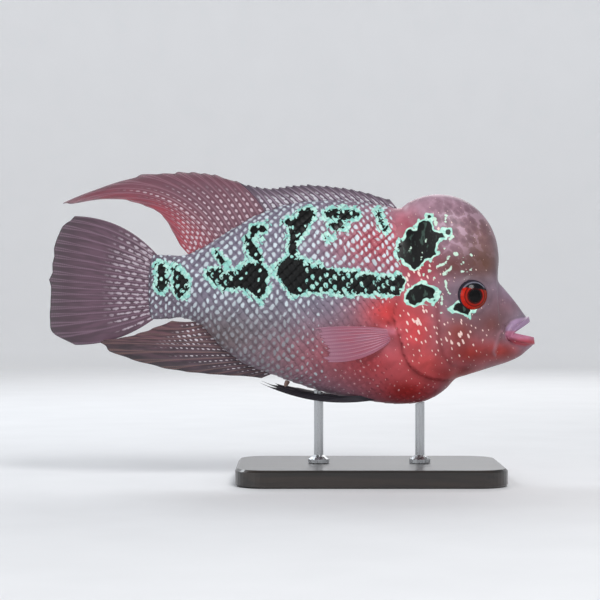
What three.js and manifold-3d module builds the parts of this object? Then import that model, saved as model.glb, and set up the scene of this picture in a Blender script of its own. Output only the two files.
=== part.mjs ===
// A flowerhorn cichlid, 250 mm from lip to tail, as a life-size display model on a low two-rod stand.
// The fish swims level towards +X with its mouth a little open, its paired fins folded back
// and its dorsal and anal fins trailing. +Y is the fish's left side and +Z is up.
// The origin is on the floor, under the middle of the model. All sizes are millimetres.
import * as THREE from "three";
import { mergeVertices } from "three/addons/utils/BufferGeometryUtils.js";
import Module from "manifold-3d";

const wasm = await Module();
wasm.setup();

const gap = 0.3; // the clearance between pieces that meet
const tiny = 1e-9;
const { abs, cos, exp, hypot, max, min, PI, pow, sin } = Math;
const mix = (a, b, t) => a + (b - a) * t;
const clamp01 = (t) => min(max(t, 0), 1);
const smooth = (t) => clamp01(t) ** 2 * (3 - 2 * clamp01(t));

// A smooth curve through rows of [position, value, value, ...], as a function of the position.
function keyed(rows) {
  const last = rows.length - 1;
  const slope = rows.map((row, i) => {
    const before = rows[max(i - 1, 0)];
    const after = rows[min(i + 1, last)];
    const h0 = row[0] - before[0];
    const h1 = after[0] - row[0];
    return row.map((v, k) => {
      if (!h0) return (after[k] - v) / h1;
      if (!h1) return (v - before[k]) / h0;
      return (((v - before[k]) / h0) * h1 + ((after[k] - v) / h1) * h0) / (h0 + h1);
    });
  });
  return (position) => {
    const at = min(max(position, rows[0][0]), rows[last][0]);
    let i = 0;
    while (i < last - 1 && at >= rows[i + 1][0]) i++;
    const h = rows[i + 1][0] - rows[i][0];
    const s = (at - rows[i][0]) / h;
    const values = rows[i].map(
      (v, k) =>
        (2 * s ** 3 - 3 * s ** 2 + 1) * v +
        (s ** 3 - 2 * s ** 2 + s) * h * slope[i][k] +
        (3 * s ** 2 - 2 * s ** 3) * rows[i + 1][k] +
        (s ** 3 - s ** 2) * h * slope[i + 1][k],
    );
    return values.length > 2 ? values.slice(1) : values[1];
  };
}

// The body is a stack of closed rings. Station 0 is the tail root, 12 the nape, 22 the notch
// between the hump and the snout, and 28 the edge of the lips.
const mouthStation = 28;

// The back in side view, [station, x, z], with the nuchal hump from station 12 to 22.
const back = keyed([
  [0, -73.2, 109.1], [1, -71.2, 115.8], [2, -64.5, 116.1], [3, -54.2, 116.3], [4, -42.9, 121.5],
  [5, -31.6, 128.7], [6, -18.8, 136.1], [7, -5.9, 141], [8, 7.5, 143.6], [9, 21.8, 144.3],
  [10, 35.2, 143.6], [11, 46.5, 141.8], [12, 55.3, 140.2], [13, 60.4, 143.3], [14, 68.1, 146.2],
  [15, 76.8, 146.9], [16, 86.1, 145.1], [17, 94.3, 140.2], [18, 100.7, 133], [19, 104.6, 124.5],
  [20, 106.2, 115.3], [21, 105.9, 107.6], [22, 106.2, 102.4], [23, 109.2, 98.6], [24, 113.1, 94],
  [25, 116.9, 89.1], [26, 120.2, 84.5], [27, 121.8, 83.1], [28, 122.5, 81.6],
]);

// The belly, throat and chin in side view, [station, x, z].
const belly = keyed([
  [0, -73.2, 88.6], [1, -71.7, 82.9], [2, -64.5, 82.7], [3, -55.3, 83.2], [4, -46, 79.3],
  [5, -36.8, 69.3], [6, -24.4, 60], [7, -10, 54.4], [8, 5.4, 48.7], [9, 21.8, 43.8],
  [10, 38.3, 40.8], [11, 52.7, 39.1], [12, 65, 39.7], [13, 73.2, 42.6], [14, 79.4, 47.2],
  [15, 84, 52.1], [16, 89.7, 54.1], [17, 96.4, 56.2], [18, 102, 58], [20, 110.8, 60.8],
  [22, 116.9, 63.6], [24, 120.8, 66.7], [26, 124, 69.6], [27, 124.9, 71.1], [28, 124.6, 73.8],
]);

// The half width, the height of the widest level as a share of the ring, and how pointed the ring
// is towards the back and towards the belly, where 1 is an ellipse and less is boxier.
const halfWidth = keyed([
  [0, 1.3], [1, 2.7], [2, 4.4], [3, 6.6], [4, 9.2], [5, 12], [6, 14.8], [7, 17.2], [8, 19.4], [9, 21.2],
  [10, 22.5], [12, 23.6], [14, 23.8], [16, 23], [18, 20.6], [20, 17.8], [22, 15.4], [24, 13.3],
  [26, 11], [27, 11.4], [28, 10],
]);
const widestLevel = keyed([
  [0, 0.5], [5, 0.5], [9, 0.47], [12, 0.4], [15, 0.34], [18, 0.35], [20, 0.38], [22, 0.37],
  [24, 0.32], [26, 0.25], [28, 0.28],
]);
const backPoint = keyed([
  [0, 0.7], [3, 1], [6, 1.2], [10, 1.12], [12, 1], [14, 0.86], [17, 0.8], [20, 0.8], [22, 0.85], [28, 1],
]);
const bellyPoint = keyed([[0, 0.7], [3, 0.95], [6, 1], [10, 0.82], [13, 0.85], [16, 1], [24, 0.9], [28, 1]]);

// The rings of the snout bend back to the corners of the mouth, by this much and this sharply.
const setBack = keyed([
  [0, 0], [17, 0], [18, 0.3], [20, 3.9], [22, 6.4], [24, 10.1], [26, 13.6], [27, 12.7], [28, 10.8],
]);
const bendPower = keyed([[0, 2], [26, 2], [27, 1.5], [28, 1.05]]);
const throatPoint = new THREE.Vector3(108, 0, 76.5); // the deepest point of the mouth
const mouthDepths = [0.25, 0.6];

// Where the eye sits, in side view.
const eye = { x: 91, z: 93.9, radius: 6.9, ballRadius: 8.5, flat: 0.82, proud: 3 };

// A soft bump or dent, in side view, of a given height at its middle.
const bump = (x, z, atX, atZ, spreadX, spreadZ, height) =>
  height * exp(-(((x - atX) / spreadX) ** 2) - ((z - atZ) / spreadZ) ** 2);

// What the head adds to the plain rings: the gill cover, the cheek, the rim round the eye,
// the groove behind the cheek, the fold between the hump and the snout, and the groove of the jaw.
const eyeRim = { height: 0.8, at: 1.2, spread: 0.22 }; // at and spread are shares of the eye's radius
function headRelief(x, z) {
  const fromEye = hypot(x - eye.x, z - eye.z) / eye.radius;
  const gillCover = bump(x, z, 62, 74, 11, 18, 1.3);
  const cheek = bump(x, z, 84, 72, 9, 12, 0.9);
  const rim = eyeRim.height * exp(-(((fromEye - eyeRim.at) / eyeRim.spread) ** 2));
  const cheekGroove = bump(x, z, 75.5, 76, 1.8, 16, 0.6);
  const browFold = bump(x, z, 101, 105, 7, 2.2, 0.9);
  const jawGroove = bump(x, z, 104.5, 72, 2, 7, 0.7);
  return gillCover + cheek + rim - cheekGroove - browFold - jawGroove;
}

// A point of the body at a station, where turn runs from 0 at the belly by PI at the back to 2 PI.
// The left side is +Y. grow moves the surface outwards, and relief adds the head's own forms.
const reliefFade = 1.6; // the relief is at full height where the skin faces mostly sideways
function bodyPoint(station, turn, { grow = 0, relief = null } = {}) {
  const [bellyX, bellyZ] = belly(station);
  const [backX, backZ] = back(station);
  const widest = widestLevel(station);
  const level = -cos(turn);
  const share = widest + level * (level > 0 ? 1 - widest : widest);
  const round = pow(abs(sin(turn)), mix(bellyPoint(station), backPoint(station), (level + 1) / 2));
  const side = sin(turn) < 0 ? -1 : 1;
  const bend = setBack(station) * (1 - pow(abs(level), bendPower(station)));
  const x = mix(bellyX, backX, share) - bend;
  const z = mix(bellyZ, backZ, share);
  const lift = relief ? relief(x, z) * min(1, reliefFade * abs(sin(turn))) : 0;
  const y = side * max(0, halfWidth(station) + grow + lift) * round;
  const onMiddle = abs(sin(turn)) < tiny;
  return new THREE.Vector3(x, onMiddle ? 0 : y, z + grow * level);
}

const asGeometry = (points, faces) =>
  new THREE.BufferGeometry()
    .setAttribute("position", new THREE.Float32BufferAttribute(points.flatMap((p) => [p.x, p.y, p.z]), 3))
    .setIndex(faces);

// A three.js geometry as a manifold-3d solid, turned right side out if need be.
function solid(geometry) {
  const bare = geometry.clone();
  bare.deleteAttribute("normal");
  bare.deleteAttribute("uv");
  const merged = mergeVertices(bare, 1e-4);
  const triVerts = new Uint32Array(merged.index.array);
  const vertProperties = new Float32Array(merged.attributes.position.array);
  const build = () => new wasm.Manifold(new wasm.Mesh({ numProp: 3, vertProperties, triVerts }));
  const made = build();
  if (made.volume() >= 0) return made;
  for (let i = 0; i < triVerts.length; i += 3) triVerts.subarray(i, i + 3).reverse();
  return build();
}

// Closed rings of equal count joined into one skin, with a fan at each end.
function ringSkin(rings, startPoint, endPoint) {
  const points = rings.flat();
  const count = rings[0].length;
  const faces = [];
  for (let i = 0; i < rings.length - 1; i++)
    for (let j = 0; j < count; j++) {
      const a = i * count + j;
      const b = i * count + ((j + 1) % count);
      faces.push(a, b, a + count, b, b + count, a + count);
    }
  const start = points.push(startPoint) - 1;
  const end = points.push(endPoint) - 1;
  const lastRing = (rings.length - 1) * count;
  for (let j = 0; j < count; j++) {
    const next = (j + 1) % count;
    faces.push(start, next, j, end, lastRing + j, lastRing + next);
  }
  return solid(asGeometry(points, faces));
}

const ringSteps = 32; // points round a ring
const stationStep = 0.5;
const tailCrown = 0.4; // how far the tail root swells past its last ring

// The whole body as one solid, from the tail root to the inside of the mouth.
function wholeBody(options) {
  const rings = [];
  const turns = Array.from({ length: ringSteps }, (_, j) => (2 * PI * j) / ringSteps);
  for (let station = 0; station <= mouthStation; station += stationStep)
    rings.push(turns.map((turn) => bodyPoint(station, turn, options)));
  const lips = rings.at(-1);
  for (const depth of mouthDepths) rings.push(lips.map((p) => p.clone().lerp(throatPoint, depth)));
  const [tailX, tailTop] = back(0);
  const tailBottom = belly(0)[1];
  const tailEnd = new THREE.Vector3(tailX - (options?.grow ?? 0) - tailCrown, 0, (tailTop + tailBottom) / 2);
  return ringSkin(rings, tailEnd, throatPoint);
}

// The largest closed piece of a solid, so that no loose scrap is left.
const largest = (made) => made.decompose().sort((a, b) => b.volume() - a.volume())[0];

// A side-view outline, [x, z] in order, as a wall running along Y between two places.
function slab(outline, fromY, toY) {
  const shape = new THREE.Shape(outline.map(([x, z]) => new THREE.Vector2(x, z)));
  const geometry = new THREE.ExtrudeGeometry(shape, { depth: toY - fromY, bevelEnabled: false });
  return solid(geometry.rotateX(PI / 2).translate(0, toY, 0));
}

// A line through [x, z] points, moved sideways by a distance.
function shifted(line, distance) {
  return line.map(([x, z], i) => {
    const [beforeX, beforeZ] = line[max(i - 1, 0)];
    const [afterX, afterZ] = line[min(i + 1, line.length - 1)];
    const long = hypot(afterX - beforeX, afterZ - beforeZ);
    return [x - ((afterZ - beforeZ) / long) * distance, z + ((afterX - beforeX) / long) * distance];
  });
}

const reach = 60; // further out than the body on either side
const beyond = 200; // further than the body ends, in front, behind and above

// The rear edge of the gill cover and the line above it up to the nape, in side view.
const gillEdge = [
  [54.4, 160], [55.6, 139], [57, 121.3], [58.2, 105.7], [55.7, 96.9], [52.4, 89.7], [51.3, 84.1],
  [52.9, 79.2], [55, 73.1], [56.4, 65.6], [60, 59.1], [64.4, 55.6], [70.3, 53.2], [76.5, 52.3],
  [81.6, 52.7], [87.8, 41.3],
];
const headSide = (distance) =>
  slab([...shifted(gillEdge, distance), [beyond, 40], [beyond, 160]], -reach, reach);

const plainBody = wholeBody();
const grownBody = wholeBody({ grow: gap });
const reliefBody = wholeBody({ relief: headRelief });
const grownRelief = wholeBody({ grow: gap, relief: headRelief });
const fleshClear = grownBody.add(grownRelief.intersect(headSide(0)));

const wholeHead = reliefBody.intersect(headSide(0));
const behindGills = plainBody.subtract(headSide(-gap));

// The trunk and the tail stalk.
const stalkX = -50;
const behind = (x) => slab([[-beyond, 0], [x, 0], [x, beyond], [-beyond, beyond]], -reach, reach);
const trunk = largest(behindGills.subtract(behind(stalkX)));
const tailStalk = largest(behindGills.intersect(behind(stalkX - gap)));

// The nuchal hump is what lies above this line.
const humpLine = [
  [40, 150], [56.5, 134], [62, 119], [70, 110.5], [80, 106.5], [94, 105], [101, 103.6],
  [106.4, 102.2], [120, 97],
];
const humpSide = (distance) =>
  slab([...shifted(humpLine, distance), [beyond, beyond], [40, beyond]], -reach, reach);
const nuchalHump = largest(wholeHead.intersect(humpSide(gap / 2)));
let headRest = wholeHead.subtract(humpSide(-gap / 2));

// The gill covers lie outside this depth, behind the upright line of the cheek.
const gillDepth = 10;
const cheekLine = [
  [58, 104], [66, 101.5], [72, 98.5], [74.6, 92], [75.3, 80], [75.8, 70], [78.2, 60], [82, 54.5], [88, 44],
];
const gillOutline = (distance) => [...shifted(cheekLine, distance), [40, 40], [40, 104]];
const gillCovers = [-1, 1].map((side) => {
  const span = (d) => (side > 0 ? [gillDepth + d, reach] : [-reach, -gillDepth - d]);
  const cover = largest(headRest.intersect(slab(gillOutline(0), ...span(gap))));
  headRest = headRest.subtract(slab(gillOutline(gap), ...span(0)));
  return cover;
});

// The lower jaw, cut off along a line from inside the mouth down to the throat.
const jawLine = [
  [116, 75.7], [112, 76], [107.6, 76.3], [104.2, 72], [100.6, 64.5], [97.4, 57.5], [94.4, 48],
];
const jawSide = (distance) => slab([...shifted(jawLine, distance), [140, 48], [140, 75.7]], -reach, reach);
const lowerJaw = largest(headRest.intersect(jawSide(gap / 2)));
headRest = headRest.subtract(jawSide(-gap / 2));

// The upper lip, cut off along its groove.
const lipLine = [
  [124, 86.6], [119.9, 84.2], [116, 82.7], [112.9, 81], [110.9, 78.8], [109.9, 76.4], [108, 74],
];
const lipSide = (distance) => slab([...shifted(lipLine, distance), [140, 74], [140, 86.6]], -reach, reach);
const upperLip = largest(headRest.intersect(lipSide(gap / 2)));
headRest = headRest.subtract(lipSide(-gap / 2));

// Eyeballs: flattened domes that look out along the skin, a little forwards.
const eyeTurn = 0.2; // radians that the gaze turns from straight sideways towards the snout
const eyeSpot = { station: 16.35, turn: 1.73 };
const skinAtEye = bodyPoint(eyeSpot.station, eyeSpot.turn).y;
function eyeball(side, grow) {
  const steps = 20;
  const ball = new THREE.SphereGeometry(eye.ballRadius + grow, steps, steps / 2).scale(1, eye.flat, 1);
  const depth = skinAtEye + eye.proud - eye.flat * eye.ballRadius;
  return solid(ball.rotateZ(-eyeTurn).scale(1, side, 1).translate(eye.x, side * depth, eye.z));
}
const eyes = [-1, 1].map((side) => eyeball(side, 0));

// Nostrils: one shallow pit on each side of the snout.
const nostril = { x: 108, z: 91.8, y: 9.2, radius: 1.1, stretch: 1.3 };
const nostrilPits = [-1, 1].map((side) => {
  const pit = new THREE.SphereGeometry(nostril.radius, 8, 6).scale(nostril.stretch, 1, 1);
  return solid(pit.translate(nostril.x, side * nostril.y, nostril.z));
});
for (const side of [-1, 1]) headRest = headRest.subtract(eyeball(side, gap));
for (const pit of nostrilPits) headRest = headRest.subtract(pit);
const head = largest(headRest);
const humpClear = [-1, 1].reduce((made, side) => made.subtract(eyeball(side, gap)), nuchalHump);

// A fin is a thin sheet over the side view. Its rays are ridges raised in its own surface.
// rows: [share from first ray to last, base x, base z, tip x, tip z, bow], where bow is how far
// the middle of the ray stands off the straight line between its ends.
// lateral gives Y from the share across the fin and along the ray. sink is how far the root reaches
// into the flesh, and scallop is how much shorter the skin is than the rays beside it.
const skinColumns = [0.36, 0.64]; // where the skin between two rays has its own columns of points
function finSolid({ rays, rows, steps, sink, lateral, rayHalf, skinHalf, scallop = 0.04, from = 0, to = 1 }) {
  const place = keyed(rows);
  const point = (across, along) => {
    const [baseX, baseZ, tipX, tipZ, bow] = place(across);
    const long = hypot(tipX - baseX, tipZ - baseZ);
    const offX = (-(tipZ - baseZ) / long) * bow;
    const offZ = ((tipX - baseX) / long) * bow;
    if (along < 0) {
      // straight on into the flesh, the way that the ray leaves it
      const pullX = (tipX - baseX + 4 * offX) / long;
      const pullZ = (tipZ - baseZ + 4 * offZ) / long;
      return [baseX + along * sink * pullX, baseZ + along * sink * pullZ];
    }
    const arch = 4 * along * (1 - along);
    return [mix(baseX, tipX, along) + arch * offX, mix(baseZ, tipZ, along) + arch * offZ];
  };
  const columns = [];
  const across = (position) => mix(from, to, position / (rays - 1));
  for (let i = 0; i < rays; i++) {
    columns.push({ across: across(i), ray: true });
    if (i < rays - 1) for (const part of skinColumns) columns.push({ across: across(i + part), ray: false });
  }
  const points = [];
  const rowCount = steps + 2;
  for (const face of [-1, 1])
    for (const { across, ray } of columns)
      for (let k = -1; k <= steps; k++) {
        const along = k < 0 ? -1 : (k / steps) * (ray ? 1 : 1 - scallop);
        const [x, z] = point(across, along);
        const t = max(along, 0);
        const half = ray ? mix(rayHalf[0], rayHalf[1], t) : mix(skinHalf[0], skinHalf[1], t);
        points.push(new THREE.Vector3(x, lateral(across, along) + face * half, z));
      }
  const faces = [];
  const endColumn = columns.length - 1;
  const endRow = rowCount - 1;
  const right = (column, row) => column * rowCount + row;
  const left = (column, row) => (columns.length + column) * rowCount + row;
  const quad = (a, b, c, d) => faces.push(a, b, c, a, c, d);
  for (let c = 0; c < endColumn; c++)
    for (let k = 0; k < endRow; k++) {
      quad(right(c, k), right(c + 1, k), right(c + 1, k + 1), right(c, k + 1));
      quad(left(c + 1, k + 1), left(c + 1, k), left(c, k), left(c, k + 1));
    }
  for (let k = 0; k < endRow; k++) {
    quad(right(0, k), right(0, k + 1), left(0, k + 1), left(0, k));
    quad(right(endColumn, k), left(endColumn, k), left(endColumn, k + 1), right(endColumn, k + 1));
  }
  for (let c = 0; c < endColumn; c++) {
    quad(right(c, 0), left(c, 0), left(c + 1, 0), right(c + 1, 0));
    quad(right(c, endRow), right(c + 1, endRow), left(c + 1, endRow), left(c, endRow));
  }
  return solid(asGeometry(points, faces));
}

const rooted = (fin) => largest(fin.subtract(fleshClear));
const rayThick = [0.85, 0.36]; // half a ray's thickness at its root and at its tip
const skinThick = [0.42, 0.26]; // half the thickness of the skin between the rays
const downwards = (rows) => rows.map((row) => [...row.slice(0, 5), -row[5]]);

// The dorsal fin: low leaning spines from the nape, then long soft rays that trail over the tail.
const dorsalRows = downwards([
  [0, 54.2, 140, 50.6, 144.3, 0], [0.071, 45.5, 141.5, 38.3, 148, 0], [0.179, 32.1, 143.3, 22.9, 151, 0.3],
  [0.321, 13.6, 143.8, 2.8, 151.8, 0.5], [0.464, -3.9, 141.5, -14.6, 150.5, 0.5],
  [0.536, -12.1, 138.7, -24.9, 152.6, 1], [0.607, -20.8, 134.8, -39.8, 157.2, 1.5],
  [0.679, -28.5, 129.9, -57.3, 158.7, 3.1], [0.75, -35.7, 125.8, -84, 155.6, 7.2],
  [0.804, -39.8, 123.3, -114.9, 142.5, 15], [0.839, -42.9, 121.5, -94, 144.5, 9.5],
  [0.893, -46.5, 119.4, -75.5, 141, 4.4], [0.946, -49.6, 117.3, -66, 135.3, 1.5],
  [1, -53.2, 116.3, -57.3, 120.9, 0],
]);
const dorsalSplit = 0.55; // where the spiny part ends, as a share from the first ray to the last
const dorsalGap = 0.0013;
const dorsalSway = { height: 1.6, waves: 9, start: 0.45 };
const dorsalWave = (across, along) => {
  const begun = smooth(along) * smooth((across - dorsalSway.start) * 2);
  return dorsalSway.height * sin(across * dorsalSway.waves) * begun;
};
const dorsal = { rows: dorsalRows, sink: 3.5, lateral: dorsalWave, rayHalf: rayThick, skinHalf: skinThick };
const dorsalSpiny = finSolid({ ...dorsal, rays: 16, steps: 3, to: dorsalSplit - dorsalGap, scallop: 0.12 });
const dorsalSoft = finSolid({ ...dorsal, rays: 13, steps: 8, from: dorsalSplit + dorsalGap });

// The tail fin: a broad rounded fan, swung a little to the left.
const tailSwing = [1.5, 4.5]; // at the tips of its top and bottom rays
const tailFin = finSolid({
  rays: 17, steps: 6, sink: 3, rayHalf: [0.95, 0.36], skinHalf: skinThick,
  lateral: (across, along) => max(along, 0) ** 2 * mix(...tailSwing, across),
  rows: downwards([
    [0, -70.2, 117.3, -110.8, 135.9, 4.6], [0.08, -72.2, 115.3, -115.9, 132.8, 3.1],
    [0.17, -73.2, 112.2, -119.8, 127.1, 2.1], [0.27, -73.8, 109.1, -122.1, 120.9, 1],
    [0.4, -73.8, 104, -123.3, 112.2, 0.3], [0.5, -73.8, 99.9, -123.6, 105, 0],
    [0.62, -73.8, 95.2, -124.1, 97.8, 0], [0.74, -73.2, 91.6, -124.6, 90.1, -0.3],
    [0.85, -72.7, 88, -125, 82.9, -1], [0.93, -72.2, 85.5, -122.8, 75.5, -1.8],
    [1, -70.7, 82.9, -111.8, 69.5, -3.6],
  ]),
});

// The anal fin: short spines in front, and soft rays that trail past the tail root on the right.
const analSwing = 3.2;
const analFin = finSolid({
  rays: 14, steps: 6, sink: 3.5, rayHalf: rayThick, skinHalf: skinThick,
  lateral: (across, along) => -analSwing * pow(max(along, 0), 1.5) * smooth(across * 1.8),
  rows: [
    [0, -10.4, 54.6, -15.2, 52.6, 0], [0.12, -15.2, 56.2, -26.5, 53.6, 0],
    [0.25, -20.8, 58.2, -44.5, 54.8, 0], [0.37, -26, 60.8, -62.5, 57.1, 0],
    [0.5, -31.1, 64.4, -87.6, 63.4, 0], [0.6, -35.7, 68, -98.9, 70.6, 0],
    [0.7, -39.8, 71.6, -92.3, 72.2, 0.8], [0.8, -42.9, 75.2, -83, 74.4, 1.2],
    [0.9, -45.5, 78.8, -72.7, 77.8, 1.5],
    [1, -47.5, 81.9, -61.4, 82.1, 0.5],
  ],
});

// The pectoral fins fold back along the flanks from a fleshy root behind the gill cover.
const pectoralSpread = { root: 21.8, tip: 9.2, lean: 1.2 };
const pectoralRows = [
  [0, 53.7, 78.8, 12.6, 78.3, 0], [0.25, 54.2, 76.7, 13.6, 75.7, 0], [0.5, 54.2, 74.7, 17.2, 71.6, 0],
  [0.75, 53.7, 72.6, 19.3, 68, 0], [1, 52.2, 70.6, 17.2, 63.4, 1.5],
];
const pectoralFins = [-1, 1].map((side) =>
  finSolid({
    rays: 11, steps: 4, sink: 2, rows: pectoralRows, rayHalf: [1.6, 0.34], skinHalf: [1.3, 0.25],
    lateral: (across, along) =>
      side * (pectoralSpread.root + pectoralSpread.tip * max(along, 0) - pectoralSpread.lean * across),
  }),
);

// The pelvic fins fold back under the belly as smooth pointed blades, their rays pressed together.
const pelvicRows = [
  [0, 46.5, 42.3, -13.9, 49.7, 5], [0.5, 45, 43.4, -6, 48.8, 3.4], [1, 42, 44.6, 10, 45.8, 1.2],
];
const pelvicThick = [0.75, 0.3];
const pelvicSpread = { root: 6.2, bulge: 7, lean: 1.5 };
const pelvicFins = [-1, 1].map((side) =>
  finSolid({
    rays: 4, steps: 8, sink: 3, rows: pelvicRows, rayHalf: pelvicThick, skinHalf: pelvicThick, scallop: 0,
    lateral: (across, along) =>
      side * (pelvicSpread.root + pelvicSpread.bulge * smooth(along * 0.8) + pelvicSpread.lean * across),
  }),
);

// The small vent papilla in front of the anal fin, pointing down and back.
const papilla = { radius: 1.3, stretch: 2, lean: 0.5, x: -2.2, z: 50.4 };
const ventPapilla = solid(
  new THREE.SphereGeometry(papilla.radius, 10, 8)
    .scale(1, 1, papilla.stretch)
    .rotateY(papilla.lean)
    .translate(papilla.x, 0, papilla.z),
);

// The stand: a flat base with rounded corners and two rods, each with a small foot.
const base = { length: 136, width: 84, thick: 9, corner: 14, bevel: 1.2, centreX: 40 };
function standBase() {
  const halfLength = base.length / 2 - base.bevel;
  const halfDeep = base.width / 2 - base.bevel;
  const r = base.corner;
  const shape = new THREE.Shape();
  shape.moveTo(-halfLength + r, -halfDeep);
  shape.lineTo(halfLength - r, -halfDeep).absarc(halfLength - r, -halfDeep + r, r, -PI / 2, 0);
  shape.lineTo(halfLength, halfDeep - r).absarc(halfLength - r, halfDeep - r, r, 0, PI / 2);
  shape.lineTo(-halfLength + r, halfDeep).absarc(-halfLength + r, halfDeep - r, r, PI / 2, PI);
  shape.lineTo(-halfLength, -halfDeep + r).absarc(-halfLength + r, -halfDeep + r, r, PI, 1.5 * PI);
  const plate = new THREE.ExtrudeGeometry(shape, {
    depth: base.thick - 2 * base.bevel,
    bevelSize: base.bevel,
    bevelThickness: base.bevel,
    bevelSegments: 1,
    curveSegments: 5,
  });
  return solid(plate.translate(base.centreX, 0, base.bevel));
}

// A rod starts inside the body and is cut off where it meets the belly.
const rod = { radius: 2.4, footRadius: 5.5, footHeight: 3, top: 57, frontX: 66, rearX: 14 };
const lowest = (made) => made.decompose().sort((a, b) => a.boundingBox().min[2] - b.boundingBox().min[2])[0];
function standRod(x) {
  const foot = base.thick + gap;
  const profile = [
    [0, foot], [rod.footRadius, foot], [rod.footRadius, foot + rod.footHeight * 0.6],
    [rod.footRadius * 0.7, foot + rod.footHeight], [rod.radius, foot + rod.footHeight * 1.3],
    [rod.radius, rod.top], [0, rod.top],
  ].map(([r, h]) => new THREE.Vector2(r, h));
  const made = solid(new THREE.LatheGeometry(profile, 16).rotateX(PI / 2).translate(x, 0, 0));
  return lowest(made.subtract(fleshClear));
}

const materials = {
  hump: new THREE.MeshStandardMaterial({ color: 0x7a4a55, roughness: 0.35, metalness: 0 }),
  face: new THREE.MeshStandardMaterial({ color: 0x9c3b41, roughness: 0.35, metalness: 0 }),
  flank: new THREE.MeshStandardMaterial({ color: 0x857a86, roughness: 0.4, metalness: 0 }),
  lip: new THREE.MeshStandardMaterial({ color: 0xa5596e, roughness: 0.35, metalness: 0 }),
  eye: new THREE.MeshStandardMaterial({ color: 0xb3150c, roughness: 0.08, metalness: 0 }),
  fin: new THREE.MeshStandardMaterial({ color: 0x5f4350, roughness: 0.45, metalness: 0 }),
  pectoral: new THREE.MeshStandardMaterial({ color: 0xb4707f, roughness: 0.4, metalness: 0 }),
  pelvic: new THREE.MeshStandardMaterial({ color: 0x2b2230, roughness: 0.45, metalness: 0 }),
  base: new THREE.MeshStandardMaterial({ color: 0x1c1c1e, roughness: 0.4, metalness: 0 }),
  rod: new THREE.MeshStandardMaterial({ color: 0xb8babd, roughness: 0.25, metalness: 1 }),
};

const fish = new THREE.Group();
function place(name, made, material) {
  const { numProp, numVert, vertProperties, triVerts } = made.getMesh();
  const positions = new Float32Array(numVert * 3);
  for (let i = 0; i < numVert; i++) {
    const first = i * numProp;
    positions.set(vertProperties.subarray(first, first + 3), i * 3);
  }
  const geometry = new THREE.BufferGeometry()
    .setAttribute("position", new THREE.BufferAttribute(positions, 3))
    .setIndex(new THREE.BufferAttribute(new Uint32Array(triVerts), 1));
  geometry.computeVertexNormals();
  const mesh = new THREE.Mesh(geometry, material);
  mesh.name = name;
  fish.add(mesh);
}

place("head", head, materials.face);
place("nuchal_hump", largest(humpClear), materials.hump);
place("gill_cover_right", gillCovers[0], materials.face);
place("gill_cover_left", gillCovers[1], materials.face);
place("upper_lip", upperLip, materials.lip);
place("lower_jaw", lowerJaw, materials.lip);
place("eye_right", eyes[0], materials.eye);
place("eye_left", eyes[1], materials.eye);
place("trunk", trunk, materials.flank);
place("tail_stalk", tailStalk, materials.flank);
place("dorsal_fin_spiny", rooted(dorsalSpiny), materials.fin);
place("dorsal_fin_soft", rooted(dorsalSoft), materials.fin);
place("tail_fin", rooted(tailFin), materials.fin);
place("anal_fin", rooted(analFin), materials.fin);
place("pectoral_fin_right", rooted(pectoralFins[0]), materials.pectoral);
place("pectoral_fin_left", rooted(pectoralFins[1]), materials.pectoral);
place("pelvic_fin_right", rooted(pelvicFins[0]), materials.pelvic);
place("pelvic_fin_left", rooted(pelvicFins[1]), materials.pelvic);
place("vent_papilla", rooted(ventPapilla), materials.lip);
place("stand_base", standBase(), materials.base);
place("stand_rod_front", standRod(rod.frontX), materials.rod);
place("stand_rod_rear", standRod(rod.rearX), materials.rod);

export default fish;
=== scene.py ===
import math

import bmesh
import bpy
import numpy as np
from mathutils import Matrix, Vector


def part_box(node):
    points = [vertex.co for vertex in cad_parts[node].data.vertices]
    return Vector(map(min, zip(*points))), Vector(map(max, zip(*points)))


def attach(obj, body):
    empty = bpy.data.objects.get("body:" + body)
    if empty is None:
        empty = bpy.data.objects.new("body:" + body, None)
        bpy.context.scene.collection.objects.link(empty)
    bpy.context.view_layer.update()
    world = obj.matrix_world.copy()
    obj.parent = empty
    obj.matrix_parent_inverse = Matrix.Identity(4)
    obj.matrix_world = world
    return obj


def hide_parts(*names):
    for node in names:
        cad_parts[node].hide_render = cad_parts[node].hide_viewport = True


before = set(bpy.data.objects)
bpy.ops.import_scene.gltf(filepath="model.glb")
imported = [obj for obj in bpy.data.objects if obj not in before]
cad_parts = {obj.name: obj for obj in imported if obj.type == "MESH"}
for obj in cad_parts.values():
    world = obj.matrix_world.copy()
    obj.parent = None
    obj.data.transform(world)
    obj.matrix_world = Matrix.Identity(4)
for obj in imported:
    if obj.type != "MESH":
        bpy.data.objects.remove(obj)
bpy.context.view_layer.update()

# The picture: the camera stands level with the fish's flank, square to its right side, and the
# square frame takes in the whole fish and its stand.
MM = 0.001
quarter_turn = math.pi / 2
camera_data = bpy.data.cameras.new("camera")
camera_distance = 900 * MM
frame_width = 308.4 * MM
camera_data.sensor_width = 36
camera_data.lens = camera_data.sensor_width * camera_distance / frame_width
camera = bpy.data.objects.new("camera", camera_data)
camera_x, camera_z = 4.4, 92.7
camera.location = (camera_x * MM, -camera_distance, camera_z * MM)
camera.rotation_euler = (quarter_turn, 0, 0)
bpy.context.collection.objects.link(camera)
bpy.context.scene.camera = camera
bpy.context.scene.view_settings.view_transform = "Standard"


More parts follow.
